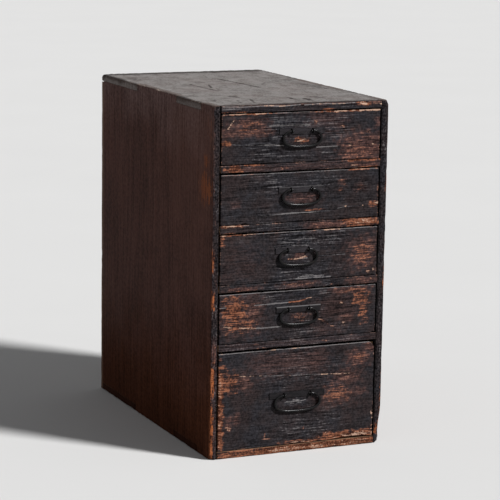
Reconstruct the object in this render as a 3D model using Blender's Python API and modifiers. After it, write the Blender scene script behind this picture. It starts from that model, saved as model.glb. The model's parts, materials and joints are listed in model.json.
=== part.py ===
"""A small Japanese document chest: five drawers with iron bail handles in a finger-jointed case.

Metres, +Z up. The origin is the middle of the case's underside, and the drawers face -Y.
"""

import math

import bmesh
import bpy
from mathutils import Vector

# Case
CASE_WIDTH = 0.240
CASE_DEPTH = 0.395
CASE_HEIGHT = 0.446
SIDE_THICKNESS = 0.010
TOP_THICKNESS = 0.009
BOTTOM_THICKNESS = 0.0095
BACK_THICKNESS = 0.008
BACK_TOP_GAP = 0.0012  # the step under the top's rear edge

# Finger joints of the sides with the top and the bottom, counted back from the front
FRONT_SIDE_FINGER = 0.041
FRONT_TOP_FINGER = 0.080
MIDDLE_SIDE_FINGER = 0.137  # the rear finger, on the top and the bottom, takes what is left

# Rails and shelves between the drawers
SMALL_DRAWERS = 4
SMALL_OPENING = 0.065  # the large opening at the bottom takes what is left
RAIL_HEIGHT = 0.010
RAIL_DEPTH = 0.030
TENON_LENGTH = 0.005
TENON_HEIGHT = 0.005
TENON_SETBACK = 0.008
TENON_DEPTH = 0.014
SHELF_THICKNESS = 0.006
SHELF_STEP = 0.0002  # the shelf lies this far below its rail's top
HOUSING_DEPTH = 0.004

# Drawers
DRAWER_RECESS = 0.0008
DRAWER_SIDE_CLEARANCE = 0.0012
DRAWER_LIFT = 0.0004
DRAWER_HEAD_CLEARANCE = 0.0018
DRAWER_REAR_CLEARANCE = 0.005
FRONT_THICKNESS = 0.013
FRONT_LAP = 0.005  # front wood left in front of the drawer's sides and bottom
DRAWER_SIDE_THICKNESS = 0.007
DRAWER_SIDE_DROP = 0.0015  # the sides end this far below the front's top edge
DRAWER_BACK_THICKNESS = 0.007
DRAWER_BOTTOM_THICKNESS = 0.005

# Handles: the small ones, then the large one on the bottom drawer
SMALL_BAIL_WIDTH = 0.055
SMALL_BAIL_DROP = 0.0194  # eye axis to the middle of the lower limb
SMALL_EYE_SPACING = 0.029
SMALL_PLATE_WIDTH = 0.0616
LARGE_BAIL_WIDTH = 0.066
LARGE_BAIL_DROP = 0.0213
LARGE_EYE_SPACING = 0.037
LARGE_PLATE_WIDTH = 0.077
PLATE_HEIGHT = 0.0077
PLATE_THICKNESS = 0.0007
HANDLE_HEIGHTS = (0.0396, 0.0413, 0.0400, 0.0391, 0.0660)  # eye axis above each opening's floor
HANDLE_SHIFTS = (-0.0005, 0.0, -0.0030, -0.0005, -0.0003)  # sideways, as the handles were nailed on
ROD_DIAMETER = 0.0034
ROD_SWELL = 0.0030  # drop over which the bail grows from its pins' thickness to the rod's
PIN_DIAMETER = 0.0026
PIN_TIP = 0.0016  # what the pin shows past its eye
EYE_WIRE = 0.0014
EYE_CLEARANCE = 0.0003  # radial, pin to eye
LEG_CLEARANCE = 0.0003
LEG_BEND = 0.0009
TAIL_LENGTH = 0.0070  # bent-over end of each leg

JOINT_GAP = 0.0003  # between pieces that touch
OVERCUT = 0.002  # how far a cutter runs past what it cuts
CASE_EDGE = 0.0016
FRONT_EDGE = 0.0010
INNER_EDGE = 0.0006
EDGE_SEGMENTS = 2
HOLE_SIDES = 16
BAIL_STEPS = 9  # points on each quarter of a bail
EYE_STEPS = 5  # points on each quarter of an eye

# Places worked out from the sizes
half_width = CASE_WIDTH / 2
half_inside = half_width - SIDE_THICKNESS
front_y = -CASE_DEPTH / 2
rear_y = CASE_DEPTH / 2
panel_y = rear_y - BACK_THICKNESS
side_rear_y = panel_y - JOINT_GAP
top_underside = CASE_HEIGHT - TOP_THICKNESS
finger_1_y = front_y + FRONT_SIDE_FINGER
finger_2_y = finger_1_y + FRONT_TOP_FINGER
finger_3_y = finger_2_y + MIDDLE_SIDE_FINGER
face_y = front_y + DRAWER_RECESS
drawer_half = half_inside - DRAWER_SIDE_CLEARANCE
drawer_rear_y = panel_y - DRAWER_REAR_CLEARANCE
front_back_y = face_y + FRONT_THICKNESS
lap_y = face_y + FRONT_LAP
plate_face_y = face_y - JOINT_GAP - PLATE_THICKNESS
eye_radius = (PIN_DIAMETER + EYE_WIRE) / 2 + EYE_CLEARANCE
eye_y = plate_face_y - JOINT_GAP - PIN_DIAMETER / 2


def clear_scene():
    for old in list(bpy.data.objects):
        bpy.data.objects.remove(old, do_unlink=True)


def new_collection(name):
    group = bpy.data.collections.new(name)
    bpy.context.scene.collection.children.link(group)
    return group


def new_material(name, colour, roughness, metallic=0.0):
    finish = bpy.data.materials.new(name)
    finish.use_nodes = True
    shader = finish.node_tree.nodes["Principled BSDF"]
    shader.inputs["Base Color"].default_value = (*colour, 1.0)
    shader.inputs["Roughness"].default_value = roughness
    shader.inputs["Metallic"].default_value = metallic
    finish.diffuse_color = (*colour, 1.0)
    return finish


def new_parent(name, place):
    holder = bpy.data.objects.new(name, None)
    parts.objects.link(holder)
    holder.location = place
    holder.empty_display_size = 0.02
    return holder


def add_cube(form, low, high):
    low, high = Vector(low), Vector(high)
    made = bmesh.ops.create_cube(form, size=1.0)
    bmesh.ops.scale(form, vec=high - low, verts=made["verts"])
    bmesh.ops.translate(form, vec=(low + high) / 2, verts=made["verts"])


def board(name, low, high, finish, parent):
    """A box from its two corners in the world, held by its parent."""
    middle = (Vector(low) + Vector(high)) / 2
    mesh = bpy.data.meshes.new(name)
    form = bmesh.new()
    add_cube(form, Vector(low) - middle, Vector(high) - middle)
    form.to_mesh(mesh)
    form.free()
    mesh.materials.append(finish)
    piece = bpy.data.objects.new(name, mesh)
    parts.objects.link(piece)
    piece.parent = parent
    piece.location = middle - parent.location
    return piece


def round_edges(piece, width, exposed):
    """Bevels the edges of a box that lie between two of its exposed faces, named as in '-x+z'."""
    directions = {}
    for axis, letter in enumerate("xyz"):
        for sign in (-1, 1):
            normal = Vector((0, 0, 0))
            normal[axis] = sign
            directions[("+" if sign > 0 else "-") + letter] = normal
    chosen = [directions[exposed[i : i + 2]] for i in range(0, len(exposed), 2)]

    form = bmesh.new()
    form.from_mesh(piece.data)
    form.normal_update()
    weight = form.edges.layers.float.new("bevel_weight_edge")
    for edge in form.edges:
        open_faces = [any(face.normal.dot(way) > 0.9 for way in chosen) for face in edge.link_faces]
        edge[weight] = 1.0 if all(open_faces) else 0.0
    form.to_mesh(piece.data)
    form.free()

    bevel = piece.modifiers.new("worn edges", "BEVEL")
    bevel.limit_method = "WEIGHT"
    bevel.width = width
    bevel.segments = EDGE_SEGMENTS


def new_tool(name, form):
    """Turns a bmesh into a hidden cutter."""
    mesh = bpy.data.meshes.new(name)
    form.to_mesh(mesh)
    form.free()
    tool = bpy.data.objects.new(name, mesh)
    cutters.objects.link(tool)
    tool.hide_render = True
    tool.display_type = "WIRE"
    return tool


def box_tool(name, spans):
    form = bmesh.new()
    for low, high in spans:
        add_cube(form, low, high)
    return new_tool(name, form)


def combine(piece, tool, operation):
    change = piece.modifiers.new(tool.name, "BOOLEAN")
    change.object = tool
    change.operation = operation
    change.solver = "EXACT"


def wire(name, points, radii, finish, parent, place):
    """An iron wire along points given from its own place, with one radius for each point."""
    curve = bpy.data.curves.new(name, "CURVE")
    curve.dimensions = "3D"
    curve.bevel_depth = 1.0
    curve.bevel_resolution = 2
    curve.use_fill_caps = True
    spline = curve.splines.new("POLY")
    spline.points.add(len(points) - 1)
    for point, at, radius in zip(spline.points, points, radii):
        point.co = (*at, 1.0)
        point.radius = radius
    spline.use_smooth = True
    curve.materials.append(finish)
    piece = bpy.data.objects.new(name, curve)
    parts.objects.link(piece)
    piece.parent = parent
    piece.location = Vector(place) - parent.location
    return piece


def opening_span(number):
    """Floor and ceiling of an opening, counted from the top."""
    ceiling = top_underside - (number - 1) * (SMALL_OPENING + RAIL_HEIGHT)
    if number > SMALL_DRAWERS:
        return BOTTOM_THICKNESS, ceiling
    return ceiling - SMALL_OPENING, ceiling


def rail_top(number):
    return opening_span(number)[0]


def tenon_span(number):
    middle = rail_top(number) - RAIL_HEIGHT / 2
    return middle - TENON_HEIGHT / 2, middle + TENON_HEIGHT / 2


def shelf_span(number):
    top = rail_top(number) - SHELF_STEP
    return top - SHELF_THICKNESS, top


def make_side(name, hand):
    """A case side: notches for the top's and bottom's fingers, mortises and shelf grooves inside."""

    def across(near, far):
        return sorted((hand * near, hand * far))

    near, far = across(half_inside, half_width)
    side = board(name, (near, front_y, 0), (far, side_rear_y, CASE_HEIGHT), side_finish, case)
    outer = "+x" if hand > 0 else "-x"
    round_edges(side, CASE_EDGE, outer + "-y+z-z")

    near, far = across(half_inside - OVERCUT, half_width + OVERCUT)
    notches = []
    levels = (
        (-OVERCUT, BOTTOM_THICKNESS + JOINT_GAP),
        (top_underside - JOINT_GAP, CASE_HEIGHT + OVERCUT),
    )
    fingers = (
        (finger_1_y - JOINT_GAP, finger_2_y + JOINT_GAP),
        (finger_3_y - JOINT_GAP, side_rear_y + OVERCUT),
    )
    for low, high in levels:
        for begin, end in fingers:
            notches.append(((near, begin, low), (far, end, high)))
    combine(side, box_tool(name + "_notches", notches), "DIFFERENCE")

    housings = []
    for number in range(1, SMALL_DRAWERS + 1):
        low, high = tenon_span(number)
        near, far = across(half_inside - OVERCUT, half_inside + TENON_LENGTH + JOINT_GAP)
        begin = front_y + TENON_SETBACK - JOINT_GAP
        end = begin + TENON_DEPTH + 2 * JOINT_GAP
        housings.append(((near, begin, low - JOINT_GAP), (far, end, high + JOINT_GAP)))
        low, high = shelf_span(number)
        near, far = across(half_inside - OVERCUT, half_inside + HOUSING_DEPTH + JOINT_GAP)
        begin = front_y + RAIL_DEPTH
        housings.append(
            ((near, begin, low - JOINT_GAP), (far, side_rear_y + OVERCUT, high + JOINT_GAP))
        )
    combine(side, box_tool(name + "_housings", housings), "DIFFERENCE")


def cut_fingers(piece, low, high):
    """Cuts the places of the sides' fingers out of the top or the bottom."""
    spans = []
    for hand in (-1, 1):
        near, far = sorted((hand * (half_inside - JOINT_GAP), hand * (half_width + OVERCUT)))
        for begin, end in ((front_y - OVERCUT, finger_1_y), (finger_2_y, finger_3_y)):
            spans.append(((near, begin, low - OVERCUT), (far, end, high + OVERCUT)))
    combine(piece, box_tool(piece.name + "_fingers", spans), "DIFFERENCE")


def make_case():
    make_side("left_side", -1)
    make_side("right_side", 1)

    top = board(
        "top_board",
        (-half_width, front_y, top_underside),
        (half_width, rear_y, CASE_HEIGHT),
        top_finish,
        case,
    )
    round_edges(top, CASE_EDGE, "-x+x-y+y+z")
    cut_fingers(top, top_underside, CASE_HEIGHT)

    bottom = board(
        "bottom_board",
        (-half_width, front_y, 0),
        (half_width, side_rear_y, BOTTOM_THICKNESS),
        lacquer_finish,
        case,
    )
    round_edges(bottom, CASE_EDGE, "-x+x-y-z")
    cut_fingers(bottom, 0, BOTTOM_THICKNESS)

    back = board(
        "back_panel",
        (-half_width, panel_y, 0),
        (half_width, rear_y, top_underside - BACK_TOP_GAP),
        back_finish,
        case,
    )
    round_edges(back, INNER_EDGE, "-x+x+y-z")

    for number in range(1, SMALL_DRAWERS + 1):
        make_rail(number)
        make_shelf(number)


def make_rail(number):
    """A front rail between two drawers, with a stub tenon at each end."""
    top = rail_top(number)
    rail = board(
        f"rail_{number}",
        (-half_inside + JOINT_GAP, front_y, top - RAIL_HEIGHT),
        (half_inside - JOINT_GAP, front_y + RAIL_DEPTH, top),
        lacquer_finish,
        case,
    )
    round_edges(rail, INNER_EDGE, "-y+z-z")
    low, high = tenon_span(number)
    reach = half_inside + TENON_LENGTH
    begin = front_y + TENON_SETBACK
    tenon = ((-reach, begin, low), (reach, begin + TENON_DEPTH, high))
    combine(rail, box_tool(f"rail_{number}_tenons", [tenon]), "UNION")


def make_shelf(number):
    """The thin board behind a rail, on which the drawer above it runs."""
    low, high = shelf_span(number)
    reach = half_inside + HOUSING_DEPTH
    board(
        f"shelf_{number}",
        (-reach, front_y + RAIL_DEPTH + JOINT_GAP, low),
        (reach, side_rear_y, high),
        bare_finish,
        case,
    )


def make_drawer(number):
    """One drawer: a lapped front, finger-jointed back corners, a bottom pegged on from below."""
    floor, ceiling = opening_span(number)
    name = f"drawer_{number}"
    holder = new_parent(name, (0, face_y, floor))
    low = floor + DRAWER_LIFT
    high = ceiling - DRAWER_HEAD_CLEARANCE
    seat = low + DRAWER_BOTTOM_THICKNESS + JOINT_GAP
    rim = high - DRAWER_SIDE_DROP
    finger_low = seat + (rim - seat) / 3
    finger_high = seat + (rim - seat) * 2 / 3
    side_inside = drawer_half - DRAWER_SIDE_THICKNESS

    front = board(
        name + "_front",
        (-drawer_half, face_y, low),
        (drawer_half, front_back_y, high),
        lacquer_finish,
        holder,
    )
    round_edges(front, FRONT_EDGE, "-x+x-y-z+z")
    side_laps = []
    for hand in (-1, 1):
        near, far = sorted((hand * (side_inside - JOINT_GAP), hand * (drawer_half + OVERCUT)))
        side_laps.append(
            ((near, lap_y, low - OVERCUT), (far, front_back_y + OVERCUT, high + OVERCUT))
        )
    bottom_lap = (
        (-drawer_half - OVERCUT, lap_y, low - OVERCUT),
        (drawer_half + OVERCUT, front_back_y + OVERCUT, seat),
    )
    combine(front, box_tool(name + "_side_laps", side_laps), "DIFFERENCE")
    combine(front, box_tool(name + "_bottom_lap", [bottom_lap]), "DIFFERENCE")

    rear_joint_y = drawer_rear_y - DRAWER_BACK_THICKNESS
    for side_name, hand in (("left", -1), ("right", 1)):
        near, far = sorted((hand * side_inside, hand * drawer_half))
        side = board(
            f"{name}_{side_name}",
            (near, lap_y + JOINT_GAP, seat),
            (far, drawer_rear_y, rim),
            bare_finish,
            holder,
        )
        notch = (
            (near - OVERCUT, rear_joint_y - JOINT_GAP, finger_low - JOINT_GAP),
            (far + OVERCUT, drawer_rear_y + OVERCUT, finger_high + JOINT_GAP),
        )
        combine(side, box_tool(side.name + "_notch", [notch]), "DIFFERENCE")

    back = board(
        name + "_back",
        (-drawer_half, rear_joint_y, seat),
        (drawer_half, drawer_rear_y, rim),
        bare_finish,
        holder,
    )
    corners = []
    for hand in (-1, 1):
        near, far = sorted((hand * (side_inside - JOINT_GAP), hand * (drawer_half + OVERCUT)))
        for begin, end in ((seat - OVERCUT, finger_low), (finger_high, rim + OVERCUT)):
            corners.append(
                ((near, rear_joint_y - OVERCUT, begin), (far, drawer_rear_y + OVERCUT, end))
            )
    combine(back, box_tool(name + "_back_corners", corners), "DIFFERENCE")

    board(
        name + "_bottom",
        (-drawer_half, lap_y + JOINT_GAP, low),
        (drawer_half, drawer_rear_y, seat - JOINT_GAP),
        bare_finish,
        holder,
    )
    make_handle(number, floor, front, holder)


def drill(name, centres, height):
    """A cutter for the eye pins' legs, two to an eye, through a plate and the front behind it."""
    form = bmesh.new()
    radius = EYE_WIRE / 2 + LEG_CLEARANCE
    begin = plate_face_y - OVERCUT
    end = front_back_y + OVERCUT
    legs = [(centre, height + hand * eye_radius) for centre in centres for hand in (-1, 1)]
    for across, up in legs:
        made = bmesh.ops.create_cone(
            form,
            cap_ends=True,
            segments=HOLE_SIDES,
            radius1=radius,
            radius2=radius,
            depth=end - begin,
        )
        turned = [(vert, vert.co.copy()) for vert in made["verts"]]
        for vert, at in turned:
            vert.co = (across + at.x, (begin + end) / 2 + at.z, up - at.y)
    bmesh.ops.recalc_face_normals(form, faces=form.faces)
    return new_tool(name, form)


def eye_pin_points():
    """One eye pin from tail to tail, around the bail's pin at its own place."""
    tail_y = front_back_y + JOINT_GAP + EYE_WIRE / 2 - eye_y
    upper = [
        (tail_y, eye_radius + LEG_BEND + TAIL_LENGTH),
        (tail_y, eye_radius + LEG_BEND),
        (tail_y - LEG_BEND, eye_radius),
    ]
    for step in range(EYE_STEPS):
        angle = math.pi / 2 * step / EYE_STEPS
        upper.append((-eye_radius * math.sin(angle), eye_radius * math.cos(angle)))
    lower = [(y, -z) for y, z in reversed(upper)]
    return [(0.0, y, z) for y, z in upper + [(-eye_radius, 0.0)] + lower]


def bail_points(width, drop, eye_spacing):
    """A bail from pin tip to pin tip in its own XZ plane, with the eye axis at z = 0."""
    reach = width / 2 - ROD_DIAMETER / 2
    pin_in = eye_spacing / 2 - EYE_WIRE / 2 - PIN_TIP
    pin_out = eye_spacing / 2 + EYE_WIRE / 2 + EYE_CLEARANCE
    waist = drop * 0.45  # where the bail is widest
    squareness = 2 / 2.6  # exponent of the lower corners
    half = [(pin_in, 0.0), (eye_spacing / 2, 0.0), (pin_out, 0.0)]
    for step in range(1, BAIL_STEPS + 1):
        angle = math.pi / 2 * step / BAIL_STEPS
        half.append((pin_out + (reach - pin_out) * math.sin(angle), waist * (math.cos(angle) - 1)))
    for step in range(1, BAIL_STEPS):
        angle = math.pi / 2 * step / BAIL_STEPS
        along = reach * math.cos(angle) ** squareness
        down = waist + (drop - waist) * math.sin(angle) ** squareness
        half.append((along, -down))
    right = [(x, 0.0, z) for x, z in half]
    left = [(-x, 0.0, z) for x, z in reversed(half)]
    return right + [(0.0, 0.0, -drop)] + left


def bail_radii(path):
    """As thin as the pins in front of the plate, swelling to the full rod below it."""
    pin, rod = PIN_DIAMETER / 2, ROD_DIAMETER / 2
    start = PLATE_HEIGHT / 2 + JOINT_GAP
    radii = []
    for _, _, z in path:
        share = min(max((-z - start) / ROD_SWELL, 0.0), 1.0)
        radii.append(pin + (rod - pin) * share)
    return radii


def make_handle(number, floor, front, holder):
    """Backplate, two eye pins and the bail, which hangs plumb from its eyes."""
    small = number <= SMALL_DRAWERS
    width = SMALL_BAIL_WIDTH if small else LARGE_BAIL_WIDTH
    drop = SMALL_BAIL_DROP if small else LARGE_BAIL_DROP
    spacing = SMALL_EYE_SPACING if small else LARGE_EYE_SPACING
    plate_width = SMALL_PLATE_WIDTH if small else LARGE_PLATE_WIDTH
    middle = HANDLE_SHIFTS[number - 1]
    height = floor + HANDLE_HEIGHTS[number - 1]
    name = f"handle_{number}"

    plate = board(
        name + "_plate",
        (middle - plate_width / 2, plate_face_y, height - PLATE_HEIGHT / 2),
        (middle + plate_width / 2, face_y - JOINT_GAP, height + PLATE_HEIGHT / 2),
        iron_finish,
        holder,
    )
    eyes = {"left": middle - spacing / 2, "right": middle + spacing / 2}
    holes = drill(name + "_holes", eyes.values(), height)
    combine(plate, holes, "DIFFERENCE")
    combine(front, holes, "DIFFERENCE")

    pin_path = eye_pin_points()
    for side, x in eyes.items():
        radii = [EYE_WIRE / 2] * len(pin_path)
        wire(f"{name}_{side}_eye", pin_path, radii, iron_finish, holder, (x, eye_y, height))

    path = bail_points(width, drop, spacing)
    place = (middle, eye_y, height)
    wire(name + "_bail", path, bail_radii(path), iron_finish, holder, place)
    # The bail swings until its lower limb is a joint gap from the front, below its eyes or above
    inward = math.degrees(math.asin((face_y - eye_y - JOINT_GAP - ROD_DIAMETER / 2) / drop))
    print(f"{name}_bail swings about {place} from {-inward:.2f} to {180 - inward:.2f} degrees")


clear_scene()
parts = new_collection("document_chest")
cutters = new_collection("document_chest_cutters")
side_finish = new_material("red_brown_stain", (0.075, 0.035, 0.024), 0.45)
top_finish = new_material("weathered_top", (0.14, 0.12, 0.11), 0.65)
lacquer_finish = new_material("worn_black_lacquer", (0.022, 0.020, 0.020), 0.5)
bare_finish = new_material("bare_paulownia", (0.42, 0.29, 0.18), 0.75)
back_finish = new_material("plain_cedar", (0.22, 0.13, 0.08), 0.75)
iron_finish = new_material("black_iron", (0.020, 0.019, 0.019), 0.45, metallic=0.8)

case = new_parent("case", (0, 0, 0))
make_case()
for drawer_number in range(1, SMALL_DRAWERS + 2):
    make_drawer(drawer_number)
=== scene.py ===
import json
import math

import bmesh
import bpy
import numpy as np
from mathutils import Matrix, Vector


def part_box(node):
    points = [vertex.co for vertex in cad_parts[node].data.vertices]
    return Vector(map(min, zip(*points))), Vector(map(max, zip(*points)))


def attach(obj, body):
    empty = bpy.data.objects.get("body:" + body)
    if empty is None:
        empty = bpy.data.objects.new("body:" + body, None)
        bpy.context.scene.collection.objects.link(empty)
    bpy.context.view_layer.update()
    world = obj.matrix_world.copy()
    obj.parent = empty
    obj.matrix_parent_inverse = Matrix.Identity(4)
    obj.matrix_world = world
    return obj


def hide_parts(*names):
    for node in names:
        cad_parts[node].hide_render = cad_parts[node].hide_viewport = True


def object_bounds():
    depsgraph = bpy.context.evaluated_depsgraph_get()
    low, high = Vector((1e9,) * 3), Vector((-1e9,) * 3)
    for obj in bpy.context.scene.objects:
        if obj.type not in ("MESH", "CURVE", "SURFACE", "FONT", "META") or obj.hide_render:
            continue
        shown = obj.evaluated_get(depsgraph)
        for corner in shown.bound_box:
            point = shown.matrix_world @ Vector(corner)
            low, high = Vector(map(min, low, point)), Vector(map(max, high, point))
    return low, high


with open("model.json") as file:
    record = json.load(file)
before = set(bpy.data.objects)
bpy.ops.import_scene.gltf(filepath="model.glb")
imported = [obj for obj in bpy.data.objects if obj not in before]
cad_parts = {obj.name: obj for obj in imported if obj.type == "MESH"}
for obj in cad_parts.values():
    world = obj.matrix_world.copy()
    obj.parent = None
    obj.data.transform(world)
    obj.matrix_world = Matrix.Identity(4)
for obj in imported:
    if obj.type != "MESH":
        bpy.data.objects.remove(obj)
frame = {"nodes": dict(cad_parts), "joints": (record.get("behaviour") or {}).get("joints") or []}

cadLow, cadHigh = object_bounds()
scene = bpy.context.scene
mm = 0.001
ways = {
    "-x": Vector((-1, 0, 0)), "+x": Vector((1, 0, 0)),
    "-y": Vector((0, -1, 0)), "+y": Vector((0, 1, 0)),
    "-z": Vector((0, 0, -1)), "+z": Vector((0, 0, 1)),
}
hinges = {joint["child"]: Vector(joint["pos_m"]) for joint in frame["joints"] if joint["type"] == "hinge"}


# building node trees, for shaders and for geometry alike
class NodeKit:
    def __init__(self, tree):
        self.tree = tree

    def put(self, socket, value):
        if isinstance(value, bpy.types.NodeSocket):
            self.tree.links.new(value, socket)
        elif value is not None:
            socket.default_value = value

    def add(self, kind, values=None, **settings):
        node = self.tree.nodes.new(kind)
        for name, value in settings.items():
            setattr(node, name, value)
        for key, value in (values or {}).items():
            self.put(node.inputs[key], value)
        return node

    def use(self, group, values):
        return self.add("ShaderNodeGroup", values, node_tree=group).outputs

    def calc(self, operation, a, b=None, clamp=False):
        return self.add("ShaderNodeMath", {0: a, 1: b}, operation=operation, use_clamp=clamp).outputs[0]

    def plus(self, a, b, clamp=False):
        return self.calc("ADD", a, b, clamp)

    def minus(self, a, b):
        return self.calc("SUBTRACT", a, b)

    def times(self, a, b, clamp=False):
        return self.calc("MULTIPLY", a, b, clamp)

    def most(self, a, b):
        return self.calc("MAXIMUM", a, b)

    def weigh(self, *parts):  # sum of (value, share) pairs
        total = None
        for value, share in parts:
            part = self.times(value, share)
            total = part if total is None else self.plus(total, part)
        return total

    def vector(self, operation, a, b):
        key = 3 if operation == "SCALE" else 1
        return self.add("ShaderNodeVectorMath", {0: a, key: b}, operation=operation).outputs[0]

    def ramp(self, value, low, high, bottom=0.0, top=1.0):  # smooth step, falling where low is above high
        values = {0: value, 1: low, 2: high, 3: bottom, 4: top}
        return self.add("ShaderNodeMapRange", values, interpolation_type="SMOOTHSTEP").outputs[0]

    def blend(self, share, a, b):
        return self.add("ShaderNodeMix", {0: share, 6: a, 7: b}, data_type="RGBA").outputs[2]

    def layer(self, colour, *coats):  # each (share, coat) covers what lies under it
        for share, coat in coats:
            colour = self.blend(share, colour, coat)
        return colour

    def noise(self, place, scale, detail=2.0, roughness=0.5, seed=None):
        values = {"Vector": place, "Scale": scale, "Detail": detail, "Roughness": roughness}
        if seed is None:
            return self.add("ShaderNodeTexNoise", values).outputs[0]
        return self.add("ShaderNodeTexNoise", {**values, "W": seed}, noise_dimensions="4D").outputs[0]

    def place(self):  # where a point lies on its piece, in metres
        return self.add("ShaderNodeTexCoord").outputs["Object"]

    def stored(self, name, kind="FLOAT"):
        return self.add("GeometryNodeInputNamedAttribute", {"Name": name}, data_type=kind).outputs[0]


socketKinds = {
    "value": "NodeSocketFloat", "vector": "NodeSocketVector", "shape": "NodeSocketGeometry",
    "finish": "NodeSocketMaterial", "count": "NodeSocketInt",
}


def newTree(name, kind, takes, gives):
    tree = bpy.data.node_groups.new(name, kind)
    for way, labels in (("INPUT", takes), ("OUTPUT", gives)):
        for label, socket in labels.items():
            tree.interface.new_socket(name=label, in_out=way, socket_type=socketKinds[socket])
    kit = NodeKit(tree)
    return kit, kit.add("NodeGroupInput").outputs, kit.add("NodeGroupOutput").inputs


def newFinish(name):
    finish = bpy.data.materials.new(name)
    finish.use_nodes = True
    finish.node_tree.nodes.clear()
    kit = NodeKit(finish.node_tree)
    shader = kit.add("ShaderNodeBsdfPrincipled")
    kit.add("ShaderNodeOutputMaterial", {"Surface": shader.outputs[0]})
    return finish, kit, shader


def dress(kit, shader, colour, rough, specular, height=None, depth=0.0):
    kit.put(shader.inputs["Base Color"], colour)
    kit.put(shader.inputs["Roughness"], rough)
    kit.put(shader.inputs["Specular IOR Level"], specular)
    if height is not None:
        bump = kit.add("ShaderNodeBump", {"Height": height, "Distance": depth, "Strength": 1.0})
        kit.put(shader.inputs["Normal"], bump.outputs[0])


# camera, floor and light
view = {
    "lens": 153.8, "sensor": 36, "azimuth": -24.19, "elevation": 10.57, "roll": 0.91,
    "distance": 2.860, "right": 0.0181, "up": 0.0032,
}
light = {
    "azimuth": 42, "elevation": 41, "strength": 4.0, "softness": 8,
    "sky": (0.158, 0.160, 0.164, 1), "background": (0.78, 0.778, 0.775, 1),
}
ground = {
    "size": 60, "pale": (0.78, 0.777, 0.77, 1), "shade": (0.75, 0.747, 0.74, 1), "clouds": 3.0,
    "bounce": (0.33, 0.322, 0.312, 1), "roughness": 0.9, "specular": 0.1,
}


def aim(azimuth, elevation):
    a, e = math.radians(azimuth), math.radians(elevation)
    return Vector((math.sin(a) * math.cos(e), -math.cos(a) * math.cos(e), math.sin(e)))


def makeCamera():
    camera = bpy.data.objects.new("camera", bpy.data.cameras.new("camera"))
    scene.collection.objects.link(camera)
    back = aim(view["azimuth"], view["elevation"])
    level = Vector((0, 0, 1)).cross(back).normalized()
    upright = back.cross(level)
    c, s = math.cos(math.radians(view["roll"])), math.sin(math.radians(view["roll"]))
    right, up = c * level + s * upright, c * upright - s * level
    middle = Vector((0, 0, (cadLow.z + cadHigh.z) / 2))
    place = middle + back * view["distance"] + right * view["right"] + up * view["up"]
    turn = Matrix((right, up, back)).transposed().to_4x4()
    camera.matrix_world = Matrix.Translation(place) @ turn
    camera.data.lens = view["lens"]
    camera.data.sensor_width = view["sensor"]
    scene.camera = camera


def seenRays(kit):  # rays that show the background rather than light the chest
    rays = kit.add("ShaderNodeLightPath").outputs
    seen = kit.most(rays["Is Camera Ray"], rays["Is Glossy Ray"])
    return kit.most(seen, rays["Is Transmission Ray"])


def makeLight():
    lamp = bpy.data.objects.new("key", bpy.data.lights.new("key", "SUN"))
    scene.collection.objects.link(lamp)
    lamp.rotation_euler = aim(light["azimuth"], light["elevation"]).to_track_quat("Z", "Y").to_euler()
    lamp.data.energy = light["strength"]
    lamp.data.angle = math.radians(light["softness"])

    world = bpy.data.worlds.new("studio")
    scene.world = world
    world.use_nodes = True
    world.node_tree.nodes.clear()
    kit = NodeKit(world.node_tree)
    sky = kit.add("ShaderNodeBackground", {"Color": light["sky"]}).outputs[0]
    backdrop = kit.add("ShaderNodeBackground", {"Color": light["background"]}).outputs[0]
    both = kit.add("ShaderNodeMixShader", {0: seenRays(kit), 1: sky, 2: backdrop}).outputs[0]
    kit.add("ShaderNodeOutputWorld", {"Surface": both})


def makeFloor():
    mesh = bpy.data.meshes.new("floor")
    half = ground["size"] / 2
    corners = [(-half, -half, 0), (half, -half, 0), (half, half, 0), (-half, half, 0)]
    mesh.from_pydata(corners, [], [(0, 1, 2, 3)])
    floor = bpy.data.objects.new("floor", mesh)
    scene.collection.objects.link(floor)
    finish, kit, shader = newFinish("pale_floor")
    pale = kit.blend(kit.noise(kit.place(), ground["clouds"], 3.0), ground["shade"], ground["pale"])
    colour = kit.blend(seenRays(kit), ground["bounce"], pale)
    dress(kit, shader, colour, ground["roughness"], ground["specular"])
    mesh.materials.append(finish)


scene.view_settings.view_transform = "Standard"
makeCamera()
makeLight()
makeFloor()
print("camera, floor and light are set")


# wood grain, the same in the shaders and in the relief, so that worn ridges are the raised ones
grainAlong = {"x": (36, 120, 560), "y": (480, 16, 480), "z": (480, 480, 16)}
grainForm = {
    "bands": (0.3, 0.45, 0.45), "fibres": (2.2, 1.4, 1.4), "veins": (0.2, 0.8, 0.8),  # times the scale
    "drift": 0.22, "bandShare": 0.25, "veinEdge": (0.075, 0.015),
    "grit": 400.0, "crumbs": 600.0, "lively": 17.0,
}


def grainField(kit, place, scale, warp):
    stretched = kit.vector("MULTIPLY", place, scale)
    drift = kit.times(kit.minus(kit.noise(stretched, grainForm["drift"], 1.0), 0.5), warp)
    bend = kit.add("ShaderNodeCombineXYZ", {0: drift, 1: drift, 2: drift}).outputs[0]
    bent = kit.vector("ADD", stretched, bend)
    bands, fibres, veins = (
        kit.vector("MULTIPLY", bent, grainForm[name]) for name in ("bands", "fibres", "veins")
    )
    band = kit.ramp(kit.noise(bands, 1.0), 0.36, 0.64)
    short = kit.ramp(kit.noise(bent, 1.0, 2.0, 0.55), 0.38, 0.62)
    ridge = kit.weigh((band, grainForm["bandShare"]), (short, 1 - grainForm["bandShare"]))
    fibre = kit.ramp(kit.noise(fibres, 1.0, 2.0, 0.55), 0.36, 0.64)
    contour = kit.minus(kit.noise(veins, 1.0, 1.0), 0.5)
    vein = kit.ramp(kit.calc("ABSOLUTE", contour), *grainForm["veinEdge"])
    return ridge, fibre, vein


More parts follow.
